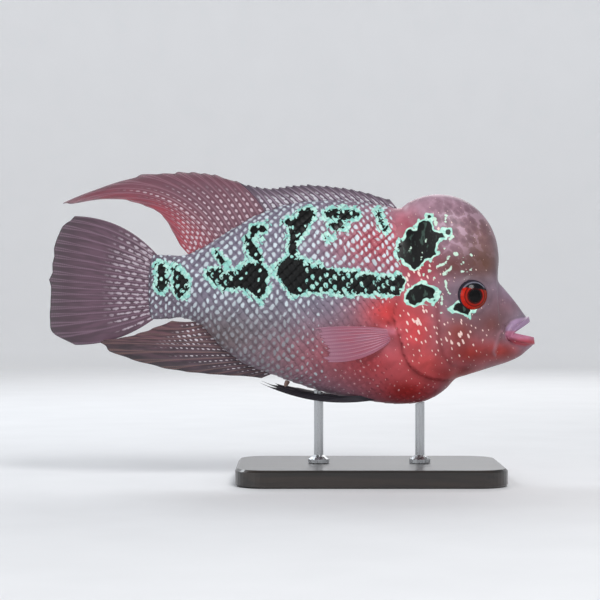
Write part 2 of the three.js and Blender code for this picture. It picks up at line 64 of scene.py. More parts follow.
# The studio: a wide pale dish of card, level under the stand and curved up far out on all sides,
# lit by one large soft lamp high in front, a fill on each side and a cool lamp from behind.
class Finish:
    """A material and its node tree, with short calls for the nodes that a finish is mixed from."""

    def __init__(self, name, roughness=0.4, **constants):
        self.material = bpy.data.materials.new(name)
        self.material.use_nodes = True
        self.tree = self.material.node_tree
        self.shader = self.tree.nodes["Principled BSDF"]
        self.set(Roughness=roughness)
        for socket, value in constants.items():
            self.shader.inputs[socket.replace("_", " ")].default_value = value

    def feed(self, socket, value):
        if hasattr(value, "links"):
            self.tree.links.new(value, socket)
        elif hasattr(value, "__len__") and len(value) == 3 and len(socket.default_value) == 4:
            socket.default_value = (*value, 1)
        else:
            socket.default_value = value

    def set(self, **sockets):
        for socket, value in sockets.items():
            self.feed(self.shader.inputs[socket.replace("_", " ")], value)

    def node(self, kind, output, inputs, **settings):
        node = self.tree.nodes.new("ShaderNode" + kind)
        for key, value in settings.items():
            setattr(node, key, value)
        for key, value in inputs.items():
            self.feed(node.inputs[key], value)
        return node.outputs[output]

    def value(self, attribute):
        return self.node("Attribute", "Fac", {}, attribute_name=attribute)

    def colour(self, attribute):
        return self.node("Attribute", "Color", {}, attribute_name=attribute)

    def math(self, operation, a, b=0.0):
        return self.node("Math", 0, {0: a, 1: b}, operation=operation)

    def times(self, a, b):
        return self.math("MULTIPLY", a, b)

    def plus(self, a, b):
        return self.math("ADD", a, b)

    def minus(self, a, b):
        return self.math("SUBTRACT", a, b)

    def ramp(self, value, low, high, start=0.0, end=1.0):
        inputs = {"Value": value, "From Min": low, "From Max": high, "To Min": start, "To Max": end}
        return self.node("MapRange", "Result", inputs, interpolation_type="SMOOTHSTEP")

    def mix(self, factor, a, b, blend="MIX"):
        """A mix of two colours. On this node the colours are inputs 6 and 7 and the result is output 2."""
        node = self.tree.nodes.new("ShaderNodeMix")
        node.data_type, node.blend_type = "RGBA", blend
        self.feed(node.inputs[0], factor)
        self.feed(node.inputs[6], a)
        self.feed(node.inputs[7], b)
        return node.outputs[2]

    def place(self, stretch):
        here = self.node("TexCoord", "Object", {})
        return self.node("Mapping", 0, {"Vector": here, "Scale": stretch})

    def noise(self, per_mm, detail=3.0, roughness=0.5, stretch=(1, 1, 1)):
        inputs = {
            "Vector": self.place(stretch),
            "Scale": per_mm / MM,
            "Detail": detail,
            "Roughness": roughness,
        }
        return self.node("TexNoise", 0, inputs)

    def flat_cells(self, per_mm, long=1.0, lean=0.0):
        """Round cells over the side view, drawn out upwards and leaning back."""
        apart = self.node("SeparateXYZ", 0, {0: self.node("TexCoord", "Object", {})})
        x, z = apart, apart.node.outputs[2]
        across = self.plus(x, self.times(z, lean))
        flat = self.node("CombineXYZ", 0, {0: across, 1: self.math("DIVIDE", z, long)})
        inputs = {"Vector": flat, "Scale": per_mm / MM}
        return self.node("TexVoronoi", "Distance", inputs, voronoi_dimensions="2D")

    def bump(self, height, depth, strength):
        inputs = {"Height": height, "Distance": depth * MM, "Strength": strength}
        self.set(Normal=self.node("Bump", 0, inputs))


def shade(hex_code):
    """A colour from its usual six-figure code, in linear light."""
    parts = [int(hex_code[i : i + 2], 16) / 255 for i in (0, 2, 4)]
    return tuple(c / 12.92 if c < 0.04045 else ((c + 0.055) / 1.055) ** 2.4 for c in parts)


def finished(name, bm, finish):
    """The bmesh as a piece of the scene, with its one finish."""
    mesh = bpy.data.meshes.new(name)
    bm.to_mesh(mesh)
    bm.free()
    piece = bpy.data.objects.new(name, mesh)
    bpy.context.collection.objects.link(piece)
    mesh.materials.append(finish.material)
    mesh.polygons.foreach_set("use_smooth", [True] * len(mesh.polygons))
    return piece


card_finish = Finish("pale card", roughness=0.9, Emission_Strength=0.3)
card_finish.set(Base_Color=card_finish.mix(card_finish.noise(0.02), shade("d9dadc"), shade("e2e3e5")))
# painted glow: the card glows more the further it lies from the middle, standing in for lamp light on its far
# parts
card_place = card_finish.node("TexCoord", "Object", {})
from_centre = card_finish.node("VectorMath", "Value", {0: card_place}, operation="LENGTH")
card_painted_glow = card_finish.ramp(from_centre, 0.3, 1.8)
card_finish.set(Emission_Color=card_finish.mix(card_painted_glow, (0, 0, 0), (0.9, 0.91, 0.93)))
card = bmesh.new()
bmesh.ops.create_grid(card, x_segments=96, y_segments=60, size=1)
card_flat, card_bend, card_rise = 2.4, 0.7, 1.2
for vert in card.verts:
    along = (vert.co.y + 1) / 2 * (card_flat + card_bend * quarter_turn + card_rise)
    level = min(along, card_flat)
    angle = min((along - level) / card_bend, quarter_turn)
    rise = max(along - level - card_bend * quarter_turn, 0)
    radius = level + card_bend * math.sin(angle)
    bearing = math.pi * vert.co.x
    height = card_bend * (1 - math.cos(angle)) + rise
    vert.co = (radius * math.cos(bearing), radius * math.sin(bearing), height)
bmesh.ops.remove_doubles(card, verts=card.verts, dist=1e-5)
bmesh.ops.recalc_face_normals(card, faces=card.faces)
finished("card", card, card_finish)


def lamp(name, place, size, power, colour=(1, 1, 1), aim=(0, 0, 0.09)):
    data = bpy.data.lights.new(name, "AREA")
    data.shape, data.size, data.energy, data.color = "DISK", size, power, colour
    light = bpy.data.objects.new(name, data)
    light.location = place
    light.rotation_euler = (Vector(aim) - Vector(place)).to_track_quat("-Z", "Y").to_euler()
    bpy.context.collection.objects.link(light)


lamp("key", (0.3, -0.8, 0.95), 0.5, 8.5)
lamp("fill_front", (-0.9, -0.9, 0.35), 0.8, 2.2, (0.95, 0.97, 1))
lamp("fill_far", (0.2, 1.0, 0.8), 0.8, 5)
lamp("rim", (-0.5, 0.55, 0.7), 0.4, 3, (0.9, 0.95, 1))
world = bpy.data.worlds.new("studio")
bpy.context.scene.world = world
world.use_nodes = True
world.node_tree.nodes["Background"].inputs["Color"].default_value = (0.86, 0.87, 0.9, 1)
world.node_tree.nodes["Background"].inputs["Strength"].default_value = 0.3


# The body: one closed skin from the tail root to the inside of the mouth. It is soft flesh under
# a thin wet skin, shaped from rings that follow the back, the belly and the width of the fish.
def keyed(rows):
    """A smooth curve through rows of (position, value, ...), as a function of many positions."""
    table = np.array(rows, float)
    at, values = table[:, 0], table[:, 1:]
    step = np.diff(at)[:, None]
    rise = np.diff(values, axis=0) / step
    inner = (rise[:-1] * step[1:] + rise[1:] * step[:-1]) / (step[:-1] + step[1:])
    slope = np.vstack([rise[:1], inner, rise[-1:]])

    def curve(position):
        position = np.clip(np.asarray(position, float), at[0], at[-1])
        i = np.clip(np.searchsorted(at, position, side="right") - 1, 0, len(at) - 2)
        h = step[i]
        s = (position - at[i])[..., None] / h
        result = (2 * s**3 - 3 * s**2 + 1) * values[i] + (3 * s**2 - 2 * s**3) * values[i + 1]
        result += h * ((s**3 - 2 * s**2 + s) * slope[i] + (s**3 - s**2) * slope[i + 1])
        return result[..., 0] if result.shape[-1] == 1 else result

    return curve


back = keyed([
    (0, -73.2, 109.1), (1, -71.2, 115.8), (2, -64.5, 116.1), (3, -54.2, 116.3), (4, -42.9, 121.5),
    (5, -31.6, 128.7), (6, -18.8, 136.1), (7, -5.9, 141), (8, 7.5, 143.6), (9, 21.8, 144.3),
    (10, 35.2, 143.6), (11, 46.5, 141.8), (12, 55.3, 140.2), (13, 60.4, 143.3), (14, 68.1, 146.2),
    (15, 76.8, 146.9), (16, 86.1, 145.1), (17, 94.3, 140.2), (18, 100.7, 133), (19, 104.6, 124.5),
    (20, 106.2, 115.3), (21, 105.9, 107.6), (22, 106.2, 102.4), (23, 109.2, 98.6), (24, 113.1, 94),
    (25, 116.9, 89.1), (26, 120.2, 84.5), (27, 121.8, 83.1), (28, 122.5, 81.6),
])
belly = keyed([
    (0, -73.2, 88.6), (1, -71.7, 82.9), (2, -64.5, 82.7), (3, -55.3, 83.2), (4, -46, 79.3),
    (5, -36.8, 69.3), (6, -24.4, 60), (7, -10, 54.4), (8, 5.4, 48.7), (9, 21.8, 43.8),
    (10, 38.3, 40.8), (11, 52.7, 39.1), (12, 65, 39.7), (13, 73.2, 42.6), (14, 79.4, 47.2),
    (15, 84, 52.1), (16, 89.7, 54.1), (17, 96.4, 56.2), (18, 102, 58), (20, 110.8, 60.8),
    (22, 116.9, 63.6), (24, 120.8, 66.7), (26, 124, 69.6), (27, 124.9, 71.1), (28, 124.6, 73.8),
])
half_width = keyed([
    (0, 1.3), (1, 2.7), (2, 4.4), (3, 6.6), (4, 9.2), (5, 12), (6, 14.8), (7, 17.2), (8, 19.4), (9, 21.2),
    (10, 22.5), (12, 23.6), (14, 23.8), (16, 23), (18, 20.6), (20, 17.8), (22, 15.4), (24, 13.3),
    (26, 11), (27, 11.4), (28, 10),
])
widest_level = keyed([
    (0, 0.5), (5, 0.5), (9, 0.47), (12, 0.4), (15, 0.34), (18, 0.35), (20, 0.38), (22, 0.37),
    (24, 0.32), (26, 0.25), (28, 0.28),
])
back_point = keyed([
    (0, 0.7), (3, 1), (6, 1.2), (10, 1.12), (12, 1), (14, 0.86), (17, 0.8), (20, 0.8), (22, 0.85), (28, 1),
])
belly_point = keyed([(0, 0.7), (3, 0.95), (6, 1), (10, 0.82), (13, 0.85), (16, 1), (24, 0.9), (28, 1)])
set_back = keyed([
    (0, 0), (17, 0), (18, 0.3), (20, 3.9), (22, 6.4), (24, 10.1), (26, 13.6), (27, 12.7), (28, 10.8),
])
bend_power = keyed([(0, 2), (26, 2), (27, 1.5), (28, 1.05)])
mouth_station = 28
throat_point = np.array([108.0, 0.0, 76.5])

eye_low, eye_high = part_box("eye_right")
eye_x, eye_z = 93.2, 95.0
eye_radius = 7.4
scale_depth = 0.4

gill_edge = [
    (59, 112), (59.6, 106), (57, 97), (53.6, 89.6), (52.5, 83.9), (54.2, 78.8), (56.3, 72.6), (57.8, 64.9),
    (61.4, 58.2), (66, 54.6), (72, 52.2), (78.4, 51.3), (86, 52.5), (92, 55),
]
cheek_edge = [(71.5, 97.5), (74.6, 92), (75.3, 82), (75.6, 73), (77.6, 64), (82, 58.5), (90, 57)]
mouth_fold = [(108.4, 74.5), (107.1, 70.5), (105.8, 66)]
lip_line = [
    (121.5, 84.8), (119.5, 84.1), (115.4, 83.3), (112.5, 81.9), (110, 78.6), (108.9, 75), (109.8, 72.2),
    (114.7, 69), (120.1, 68), (125, 69.2),
]


def smooth_step(t):
    t = np.clip(t, 0, 1)
    return t * t * (3 - 2 * t)


def from_line(x, z, line):
    """The distance from a line of points in side view, and the side: more than 0 is towards the head."""
    best = np.full(np.shape(x), 1e9)
    sign = np.ones(np.shape(x))
    for (x0, z0), (x1, z1) in zip(line, line[1:]):
        run_x, run_z = x1 - x0, z1 - z0
        t = np.clip(((x - x0) * run_x + (z - z0) * run_z) / (run_x**2 + run_z**2), 0, 1)
        off_x, off_z = x - x0 - t * run_x, z - z0 - t * run_z
        away = np.hypot(off_x, off_z)
        nearer = away < best
        best = np.where(nearer, away, best)
        sign = np.where(nearer, np.sign(run_x * off_z - run_z * off_x), sign)
    return best, sign


def seen(x, y, z):
    """Where the camera sees a point of either flank, as a place in the fish's middle plane."""
    pull = camera_distance / (camera_distance - np.abs(y) * MM)
    return camera_x + (x - camera_x) * pull, camera_z + (z - camera_z) * pull


def bump_at(x, z, at_x, at_z, spread_x, spread_z, height):
    return height * np.exp(-(((x - at_x) / spread_x) ** 2) - ((z - at_z) / spread_z) ** 2)


# each swelling or hollow as x, z, spread in x and z, and height
gill_cover_swell = (62, 74, 11, 18, 1.3)
cheek_swell = (84, 72, 9, 12, 0.9)
fin_lobe = (52.5, 75.8, 3.4, 3.2, 2.4)
brow_hollow = (101, 105, 7, 2.2, 0.9)
nostril_x, nostril_z = 108.6, 91.4
nostril_pit = (nostril_x, nostril_z, 0.9, 0.8, 1.3)
nostril_rim = 1.5


def head_forms(x, z):
    """How far the head's own forms stand out from the plain rings, in millimetres."""
    from_eye = np.hypot(x - eye_x, z - eye_z) / eye_radius
    forms = bump_at(x, z, *gill_cover_swell) + bump_at(x, z, *cheek_swell)
    # the eye's raised rim, its socket and the groove round it
    forms += 0.9 * np.exp(-(((from_eye - 1.14) / 0.13) ** 2))
    forms -= 2.6 * (1 - smooth_step((from_eye - 0.7) / 0.3))
    forms -= 0.25 * np.exp(-(((from_eye - 1.42) / 0.1) ** 2))
    # the gill cover's free edge, the cheek's, the fold at the mouth and the lips
    away, side = from_line(x, z, gill_edge)
    cover_step = np.where(side > 0, 0.9 * np.exp(-away / 4), -0.5 * np.exp(-away / 1.5))
    forms += cover_step * smooth_step((108 - z) / 14)
    away, side = from_line(x, z, cheek_edge)
    forms -= 0.55 * np.exp(-((away / 1.1) ** 2))
    away, side = from_line(x, z, mouth_fold)
    forms -= 0.7 * np.exp(-((away / 0.8) ** 2))
    forms += 0.5 * np.exp(-(((away - 1.9) / 0.9) ** 2)) * (side < 0)
    away, side = from_line(x, z, lip_line)
    forms -= (0.3 + 0.5 * smooth_step((z - 74) / 3)) * np.exp(-((away / 0.6) ** 2))
    forms += 1.0 * smooth_step(away / 1.8) * (side > 0) * smooth_step((x - 107) / 3)
    forms += bump_at(x, z, *fin_lobe)
    forms -= bump_at(x, z, *brow_hollow)
    forms -= bump_at(x, z, *nostril_pit)
    from_nostril = np.hypot(x - nostril_x, z - nostril_z)
    forms += 0.3 * np.exp(-(((from_nostril - nostril_rim) / 0.45) ** 2))
    return forms


def lip_roll(station):
    """How much the lips swell before their edges turn in."""
    return 1.2 * np.exp(-(((station - 27.15) / 0.65) ** 2))


def body_point(station, turn, grow=0.0, forms=True):
    """Points of the body in millimetres. turn runs from 0 at the belly by the left flank to the back."""
    low, high = belly(station), back(station)
    widest = widest_level(station)
    level = -np.cos(turn)
    share = widest + level * np.where(level > 0, 1 - widest, widest)
    point = belly_point(station) + (back_point(station) - belly_point(station)) * (level + 1) / 2
    round_off = np.abs(np.sin(turn)) ** point
    bend = set_back(station) * (1 - np.abs(level) ** bend_power(station))
    x = low[..., 0] + share * (high[..., 0] - low[..., 0]) - bend
    z = low[..., 1] + share * (high[..., 1] - low[..., 1])
    lift = 0
    if forms:
        side_x, side_z = seen(x, half_width(station) * round_off, z)
        lift = head_forms(side_x, side_z) * np.minimum(1, 1.6 * np.abs(np.sin(turn)))
        grow = grow + lip_roll(station)
    wide = np.maximum(0, half_width(station) + grow + lift) * round_off
    return np.stack([x, np.sign(np.sin(turn)) * wide, z + grow * level], axis=-1)


def read_points(mesh):
    flat = np.empty(len(mesh.vertices) * 3)
    mesh.vertices.foreach_get("co", flat)
    return flat.reshape(-1, 3)


def write_points(mesh, points):
    mesh.vertices.foreach_set("co", np.ascontiguousarray(points * MM).ravel())
    mesh.update()


def write_value(mesh, name, values):
    layer = mesh.attributes.new(name, "FLOAT", "POINT")
    layer.data.foreach_set("value", np.asarray(values, np.float32).ravel())


def write_colour(mesh, name, colours):
    rgba = np.concatenate([colours, np.ones((len(colours), 1))], axis=1).astype(np.float32)
    mesh.attributes.new(name, "FLOAT_COLOR", "POINT").data.foreach_set("color", rgba.ravel())


def close_up(mesh):
    """Join the mesh's double points and turn all its faces outwards."""
    bm = bmesh.new()
    bm.from_mesh(mesh)
    bmesh.ops.remove_doubles(bm, verts=bm.verts, dist=1e-7)
    bmesh.ops.recalc_face_normals(bm, faces=bm.faces)
    bm.to_mesh(mesh)
    bm.free()


# The markings: the ground colour goes from lavender grey at the tail, by rose, to crimson at the
# chest, mauve on the hump and grey round the eye. Along the flank run black patches edged in mint.
ground_start = shade("827c8c")
ground_zones = [
    # x, z, spread in x and z, strength, colour
    (-70, 100, 18, 30, 0.7, "5f505c"),
    (-35, 74, 26, 12, 0.8, "6d5852"),
    (-15, 80, 30, 16, 0.5, "73737a"),
    (0, 62, 30, 12, 0.6, "786264"),
    (22, 64, 27, 16, 0.85, "ac6470"),
    (44, 122, 22, 16, 0.95, "b04c58"),
    (50, 86, 16, 12, 0.95, "cf3a38"),
    (42, 60, 20, 12, 0.9, "bb444a"),
    (60, 46, 24, 12, 1.0, "9a2422"),
    (64, 76, 13, 20, 1.0, "cc4a4e"),
    (66, 110, 13, 12, 0.95, "b43c4a"),
    (60, 134, 9, 10, 0.9, "bc5260"),
    (72, 142, 24, 10, 0.9, "aa8796"),
    (86, 128, 14, 14, 0.85, "966e7c"),
    (98, 124, 10, 15, 0.9, "7a5a58"),
    (98, 111, 10, 9, 0.95, "62402e"),
    (84, 110, 11, 7, 0.9, "6e3a34"),
    (93, 94, 13, 11, 0.95, "6c555e"),
    (110, 91, 10, 9, 0.9, "7e5c66"),
    # painted highlight: a paler lilac spot on the snout's top ridge
    (113, 97, 6, 5, 0.7, "9a849c"),
    (103, 80, 9, 8, 0.9, "74423f"),
    (86, 76, 11, 9, 0.95, "863e38"),
    (70, 60, 14, 8, 0.9, "c04848"),
    (92, 65, 15, 8, 0.95, "a02c24"),
    (108, 66, 12, 6, 0.95, "9e3028"),
    (88, 54, 20, 5, 1.0, "921e1a"),
    # painted shade in the pit above the pectoral fin's root, and a painted highlight on the root's bulge
    # below it
    (49.5, 80.8, 2.6, 1.6, 0.8, "6e1214"),
    (51, 76.6, 3, 2, 0.75, "c87c90"),
]
ink_patches = [
    # each a chain of (x, z, radius)
    [(-66.7, 108.5, 2.6), (-66.9, 99.5, 2.6)],
    [(-58.5, 108, 2.2), (-57, 102, 4), (-56, 97, 3)],
    [
        (-41, 106, 3), (-34, 103, 4.4), (-27, 103, 4.6),
        (-19.5, 104.5, 8), (-16.5, 98, 4.5), (-16.5, 93.5, 1.2),
    ],
    [(-19, 116, 3), (-21.5, 122, 2), (-19, 129, 2.4), (-14, 130, 1.8)],
    [(-34, 112, 1.6), (-38, 117, 1)],
    [(1, 106, 9.2), (2, 98.5, 3.5)],
    [(0, 118, 2.6), (1, 124, 2), (3, 130, 4.2), (5, 134, 3.6), (9.5, 137.5, 2.6)],
    [(-2, 133, 2), (3, 130, 3)],
    [(19.5, 137, 2.2), (25, 136.4, 2.9), (31.5, 137, 2.4)],
    [(21, 130.5, 1.8), (27, 130, 1.9)],
    [(18.5, 126, 1.3), (19.5, 124.5, 1.2)],
    [(45, 138, 1.2), (45.5, 134, 1.4), (48, 130, 1.3)],
    [(8, 104, 7), (18, 103, 6), (28, 101.6, 5.6), (40, 100.8, 5), (47, 100, 4.6), (53.4, 100.2, 4.4)],
    [(63, 94.6, 3.8), (66.6, 96, 4.2), (70.7, 95.6, 4.2)],
    [(62.5, 118.5, 7.4), (66, 121.5, 8), (68.5, 128, 4.8), (70.2, 133, 2.2)],
    [(70, 124, 4.4), (76, 125.8, 2.2), (80, 127.3, 1.3)],
    [(64, 116, 6.4), (64, 112, 3.4)],
    [(67, 119, 6.8), (71, 118.6, 4)],
    [(83.2, 87.6, 1.5), (87.4, 89, 3), (91, 87.4, 2.2)],
]
pale_strokes = [
    # short mint strokes and dots on the head, each a chain of (x, z, radius)
    [(79.2, 102.4, 0.7), (79.9, 98.3, 0.5), (81.3, 95.9, 0.5)],
    [(77.5, 95.2, 0.5), (77.2, 90.7, 0.6)],
    [(76.8, 86.9, 0.6), (76.9, 86.5, 0.6)],
    [(75.1, 110, 0.9), (78.5, 111, 0.6), (81.3, 115.5, 0.7)],
    [(77.9, 105.8, 0.7), (80, 107, 0.8), (82.7, 110, 0.6)],
    [(87.5, 107.2, 0.7), (90.2, 107.4, 0.5), (93, 108.6, 0.6)],
    [(84, 116.1, 1.2), (84.6, 116.3, 1.1)],
    [(78.5, 119.6, 0.6), (78.5, 120, 0.5)],
    [(88.2, 114.1, 0.7), (88.8, 114.6, 0.6)],
    [(92.3, 115.5, 0.8), (92.4, 116.1, 0.7)],
    [(86.1, 110.7, 0.5), (88.2, 112.1, 0.7)],
    [(71, 107.2, 0.9), (71, 107.8, 0.8)],
    [(67.9, 105, 0.6), (67.8, 106.2, 0.5)],
    [(73.4, 103.4, 0.4), (73.4, 104.4, 0.4)],
    [(81, 124, 0.7), (83, 125.4, 1)],
    [(74.5, 131, 0.7), (73.6, 134.5, 0.9)],
    [(79, 133, 0.6), (79.4, 136, 0.8)],
    [(69, 123.1, 0.7), (69.2, 123.7, 0.7)],
    [(60.4, 117, 0.4), (61.4, 119, 0.5), (61.6, 121, 0.3)],
    [(66.5, 113.5, 0.3), (67.4, 117, 0.4)],
]


def tint(colours, weight, code):
    """The colours drawn towards one shade, by a weight for each."""
    return colours + weight[:, None] * (np.array(shade(code)) - colours)


def ground_colour(x, z):
    colours = np.tile(ground_start, (len(x), 1))
    for *zone, code in ground_zones:
        colours = tint(colours, bump_at(x, z, *zone), code)
    return colours


def chain_depth(x, z, chains):
    """How deep a place lies inside the nearest chain, in millimetres, and below 0 outside them."""
    depth = np.full(len(x), -30.0)
    for chain in chains:
        for (x0, z0, r0), (x1, z1, r1) in zip(chain, chain[1:]):
            run_x, run_z = x1 - x0, z1 - z0
            t = np.clip(((x - x0) * run_x + (z - z0) * run_z) / (run_x**2 + run_z**2), 0, 1)
            away = np.hypot(x - x0 - t * run_x, z - z0 - t * run_z)
            depth = np.maximum(depth, r0 + t * (r1 - r0) - away)
    return depth


def around(finish, value, depth):
    """A value from 0 to 1 turned into a swing of this depth either way."""
    return finish.times(finish.minus(value, 0.5), 2 * depth)


def pick(finish, value, low, high, colour_below, colour_above):
    """One colour where the value is low, another where it is high."""
    return finish.mix(finish.ramp(value, low, high), colour_below, colour_above)


skin_finish = Finish("wet skin", roughness=0.45, Coat_Weight=0.08, Coat_Roughness=0.2)
skin_finish.set(Specular_IOR_Level=0.22)
ink_lobes = around(skin_finish, skin_finish.noise(0.24, 1.0), 3.6)
ink_here = skin_finish.plus(skin_finish.value("ink"), ink_lobes)
mottle = pick(skin_finish, skin_finish.noise(0.12, 4.0), 0.35, 0.7, (0.8, 0.78, 0.78), (1.12, 1.1, 1.1))
skin_ground = skin_finish.mix(1.0, skin_finish.colour("ground"), mottle, "MULTIPLY")
cell_warp = around(skin_finish, skin_finish.noise(0.5, 3.0), 0.45)
cell_gap = skin_finish.plus(skin_finish.flat_cells(0.26, 1.3, 0.5), cell_warp)
cell_middle = skin_finish.ramp(cell_gap, 0.5, 0.15, 0, 0.75)
cloud = skin_finish.times(skin_finish.value("cloud"), cell_middle)
skin_ground = skin_finish.mix(cloud, skin_ground, shade("5c3c4a"))
cell_border = skin_finish.ramp(cell_gap, 0.52, 0.68, 0, 0.65)
cloud_net = skin_finish.times(skin_finish.value("cloud"), cell_border)
skin_ground = skin_finish.mix(cloud_net, skin_ground, shade("c9a8ba"))
fleck_warp = around(skin_finish, skin_finish.noise(0.5, 2.0), 0.2)
fleck_gap = skin_finish.plus(skin_finish.flat_cells(0.37, 1.9, 0.35), fleck_warp)
fleck_size = skin_finish.times(skin_finish.value("fleck"), 0.24)
fleck = skin_finish.ramp(skin_finish.minus(fleck_size, fleck_gap), -0.05, 0.05)
skin_flecked = skin_finish.mix(fleck, skin_ground, shade("efcfc6"))
skin_mint = pick(skin_finish, skin_finish.noise(0.5, 2.0), 0.35, 0.65, shade("97d4c4"), shade("c6ecdc"))
skin_minted = pick(skin_finish, ink_here, -1.6, -1.25, skin_flecked, skin_mint)
streak = skin_finish.ramp(skin_finish.noise(0.4, 2.0, 0.6, (1, 0.4, 0.4)), 0.54, 0.64, 0, 0.75)
skin_black = skin_finish.mix(streak, shade("030404"), shade("3c5249"))
skin_black = pick(skin_finish, ink_here, 1.2, 2.4, shade("030404"), skin_black)
skin_inked = pick(skin_finish, ink_here, -0.15, 0.2, skin_minted, skin_black)
stroke_lobes = around(skin_finish, skin_finish.noise(0.6, 1.0), 1.0)
stroke = skin_finish.plus(skin_finish.value("stroke"), stroke_lobes)
skin_inked = skin_finish.mix(skin_finish.ramp(stroke, -0.05, 0.3), skin_inked, shade("c4e0ce"))
skin_finish.set(Base_Color=skin_inked)
skin_finish.bump(skin_finish.noise(1.6, 3.0), 0.1, 0.6)

fine_from = 11
rear_steps = np.linspace(0, fine_from, 60)
station_steps = np.concatenate([rear_steps, np.linspace(fine_from, mouth_station, 215)[1:]])
mouth_steps = np.linspace(0, 1, 26)[1:] ** 1.4
turn_count = 300
skin_columns = len(station_steps) + len(mouth_steps)
skin = bmesh.new()
bmesh.ops.create_grid(skin, x_segments=skin_columns, y_segments=turn_count, size=1)
skin_piece = finished("skin", skin, skin_finish)
skin_grid = (read_points(skin_piece.data)[:, :2] + 1) / 2
skin_column = np.rint(skin_grid[:, 0] * skin_columns).astype(int)
skin_turn = skin_grid[:, 1] * 2 * math.pi
skin_station = np.concatenate([[0], station_steps, np.full(len(mouth_steps), mouth_station)])[skin_column]
trunk_share = 1 - smooth_step((skin_station - 12.5) / 2.5)
skin_points = body_point(skin_station, skin_turn, -scale_depth * trunk_share)
tail_tip = np.array([back(0)[0] - 0.4, 0, (back(0)[1] + belly(0)[1]) / 2])
skin_points[skin_column == 0] = tail_tip
inside = np.concatenate([np.zeros(1 + len(station_steps)), mouth_steps])[skin_column][:, None]
skin_points += inside * (throat_point - skin_points)
write_points(skin_piece.data, skin_points)
seen_x, seen_z = seen(*skin_points.T)
skin_colours = ground_colour(seen_x, seen_z)
lip_away, lip_side = from_line(seen_x, seen_z, lip_line)
upper_side = smooth_step((seen_z - 76.2) / 1.2)[:, None]
lip_blend = 1.7 - 0.9 * upper_side[:, 0]
on_lip = smooth_step(lip_away / lip_blend) * (lip_side > 0) * smooth_step((seen_x - 107) / 2)
lip_top, lip_low, lip_upper = (np.array(shade(code)) for code in ("b4728c", "a03c48", "a287a6"))
lower_lip = lip_top + smooth_step((74.2 - seen_z) / 3.2)[:, None] * (lip_low - lip_top)
lip_colour = lower_lip + upper_side * (lip_upper - lower_lip)
skin_colours += on_lip[:, None] * (lip_colour - skin_colours)
# the inside of the mouth: its own dark red, with painted shade that darkens it deeper in
skin_colours = tint(skin_colours, smooth_step(inside[:, 0] * 2.5), "4a1519")
# painted highlight along the ridge behind the fold at the mouth
fold_away, fold_side = from_line(seen_x, seen_z, mouth_fold)
fold_ridge_highlight = 0.6 * np.exp(-(((fold_away - 1.8) / 0.9) ** 2)) * (fold_side < 0)
skin_colours = tint(skin_colours, fold_ridge_highlight, "a87882")
# painted shadow: a dark band just behind the gill cover's overhanging free edge
gill_away, gill_side = from_line(seen_x, seen_z, gill_edge)
gill_edge_shadow = 0.75 * np.exp(-gill_away / 1.3) * (gill_side < 0) * smooth_step((100 - seen_z) / 20)
skin_colours = tint(skin_colours, gill_edge_shadow, "6a1114")
# painted shade along the groove of the cheek's edge
cheek_away, _ = from_line(seen_x, seen_z, cheek_edge)
skin_colours = tint(skin_colours, 0.4 * np.exp(-((cheek_away / 1.3) ** 2)), "7a2c2e")
write_colour(skin_piece.data, "ground", skin_colours)
write_value(skin_piece.data, "ink", chain_depth(seen_x, seen_z, ink_patches))
write_value(skin_piece.data, "stroke", chain_depth(seen_x, seen_z, pale_strokes))
fleck_zones = [(65, 82, 9, 14, 1.0), (86, 73, 11, 9, 1.0), (62, 106, 14, 8, 1.0), (76, 130, 10, 9, 0.5)]
flecks = sum(bump_at(seen_x, seen_z, *zone) for zone in fleck_zones)
write_value(skin_piece.data, "fleck", np.clip(flecks, 0, 1))
write_value(skin_piece.data, "cloud", bump_at(seen_x, seen_z, 84, 131, 17, 14, 0.8))
close_up(skin_piece.data)
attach(skin_piece, "root")
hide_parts("head", "nuchal_hump", "gill_cover_right", "gill_cover_left", "upper_lip",
            "lower_jaw", "trunk", "tail_stalk")


# The scales: thin overlapping plates of horn in slanting rows, each rooted towards the head with
# its rear edge free, and most with one pale pearl in the middle.
scale_finish = Finish("scales", roughness=0.45, Coat_Weight=0.08, Coat_Roughness=0.2, Specular_IOR_Level=0.24)
lie, across = scale_finish.value("lie"), scale_finish.value("across")
wobble = around(scale_finish, scale_finish.noise(0.75, 2.0), 1.0)
pearl_u = scale_finish.math("POWER", scale_finish.value("pearl_u"), 2.0)
pearl_v = scale_finish.math("POWER", scale_finish.value("pearl_v"), 2.0)
pearl_gap = scale_finish.math("SQRT", scale_finish.plus(pearl_u, pearl_v))
pearl_edge = scale_finish.plus(scale_finish.value("pearl"), scale_finish.times(wobble, 0.2))
pearl_in = scale_finish.minus(pearl_edge, pearl_gap)
pearl = scale_finish.ramp(pearl_in, -0.1, 0.13)
side_rim = scale_finish.ramp(scale_finish.math("ABSOLUTE", across), 0.6, 1.0)
rim = scale_finish.math("MAXIMUM", scale_finish.ramp(lie, 0.7, 1.0), side_rim)
scale_ground = scale_finish.mix(rim, scale_finish.colour("ground"), (0.86, 0.84, 0.86), "MULTIPLY")
scale_dull, scale_bright = (0.84, 0.84, 0.86), (1.12, 1.1, 1.1)
scale_mottle = pick(scale_finish, scale_finish.noise(0.2, 3.0), 0.35, 0.7, scale_dull, scale_bright)
scale_ground = scale_finish.mix(1.0, scale_ground, scale_mottle, "MULTIPLY")
scale_ground = scale_finish.mix(pearl, scale_ground, scale_finish.colour("pearl_shade"))
scale_ink = scale_finish.plus(scale_finish.value("ink"), scale_finish.times(wobble, 1.7))
scale_ink = scale_finish.minus(scale_ink, scale_finish.times(lie, 0.8))
spared = scale_finish.ramp(scale_finish.minus(pearl_in, scale_finish.value("spared")), -0.02, 0.06)
slit_edge = scale_finish.plus(lie, scale_finish.times(wobble, 0.8))
slit = scale_finish.times(scale_finish.value("slit"), scale_finish.ramp(slit_edge, 0.55, 0.7))
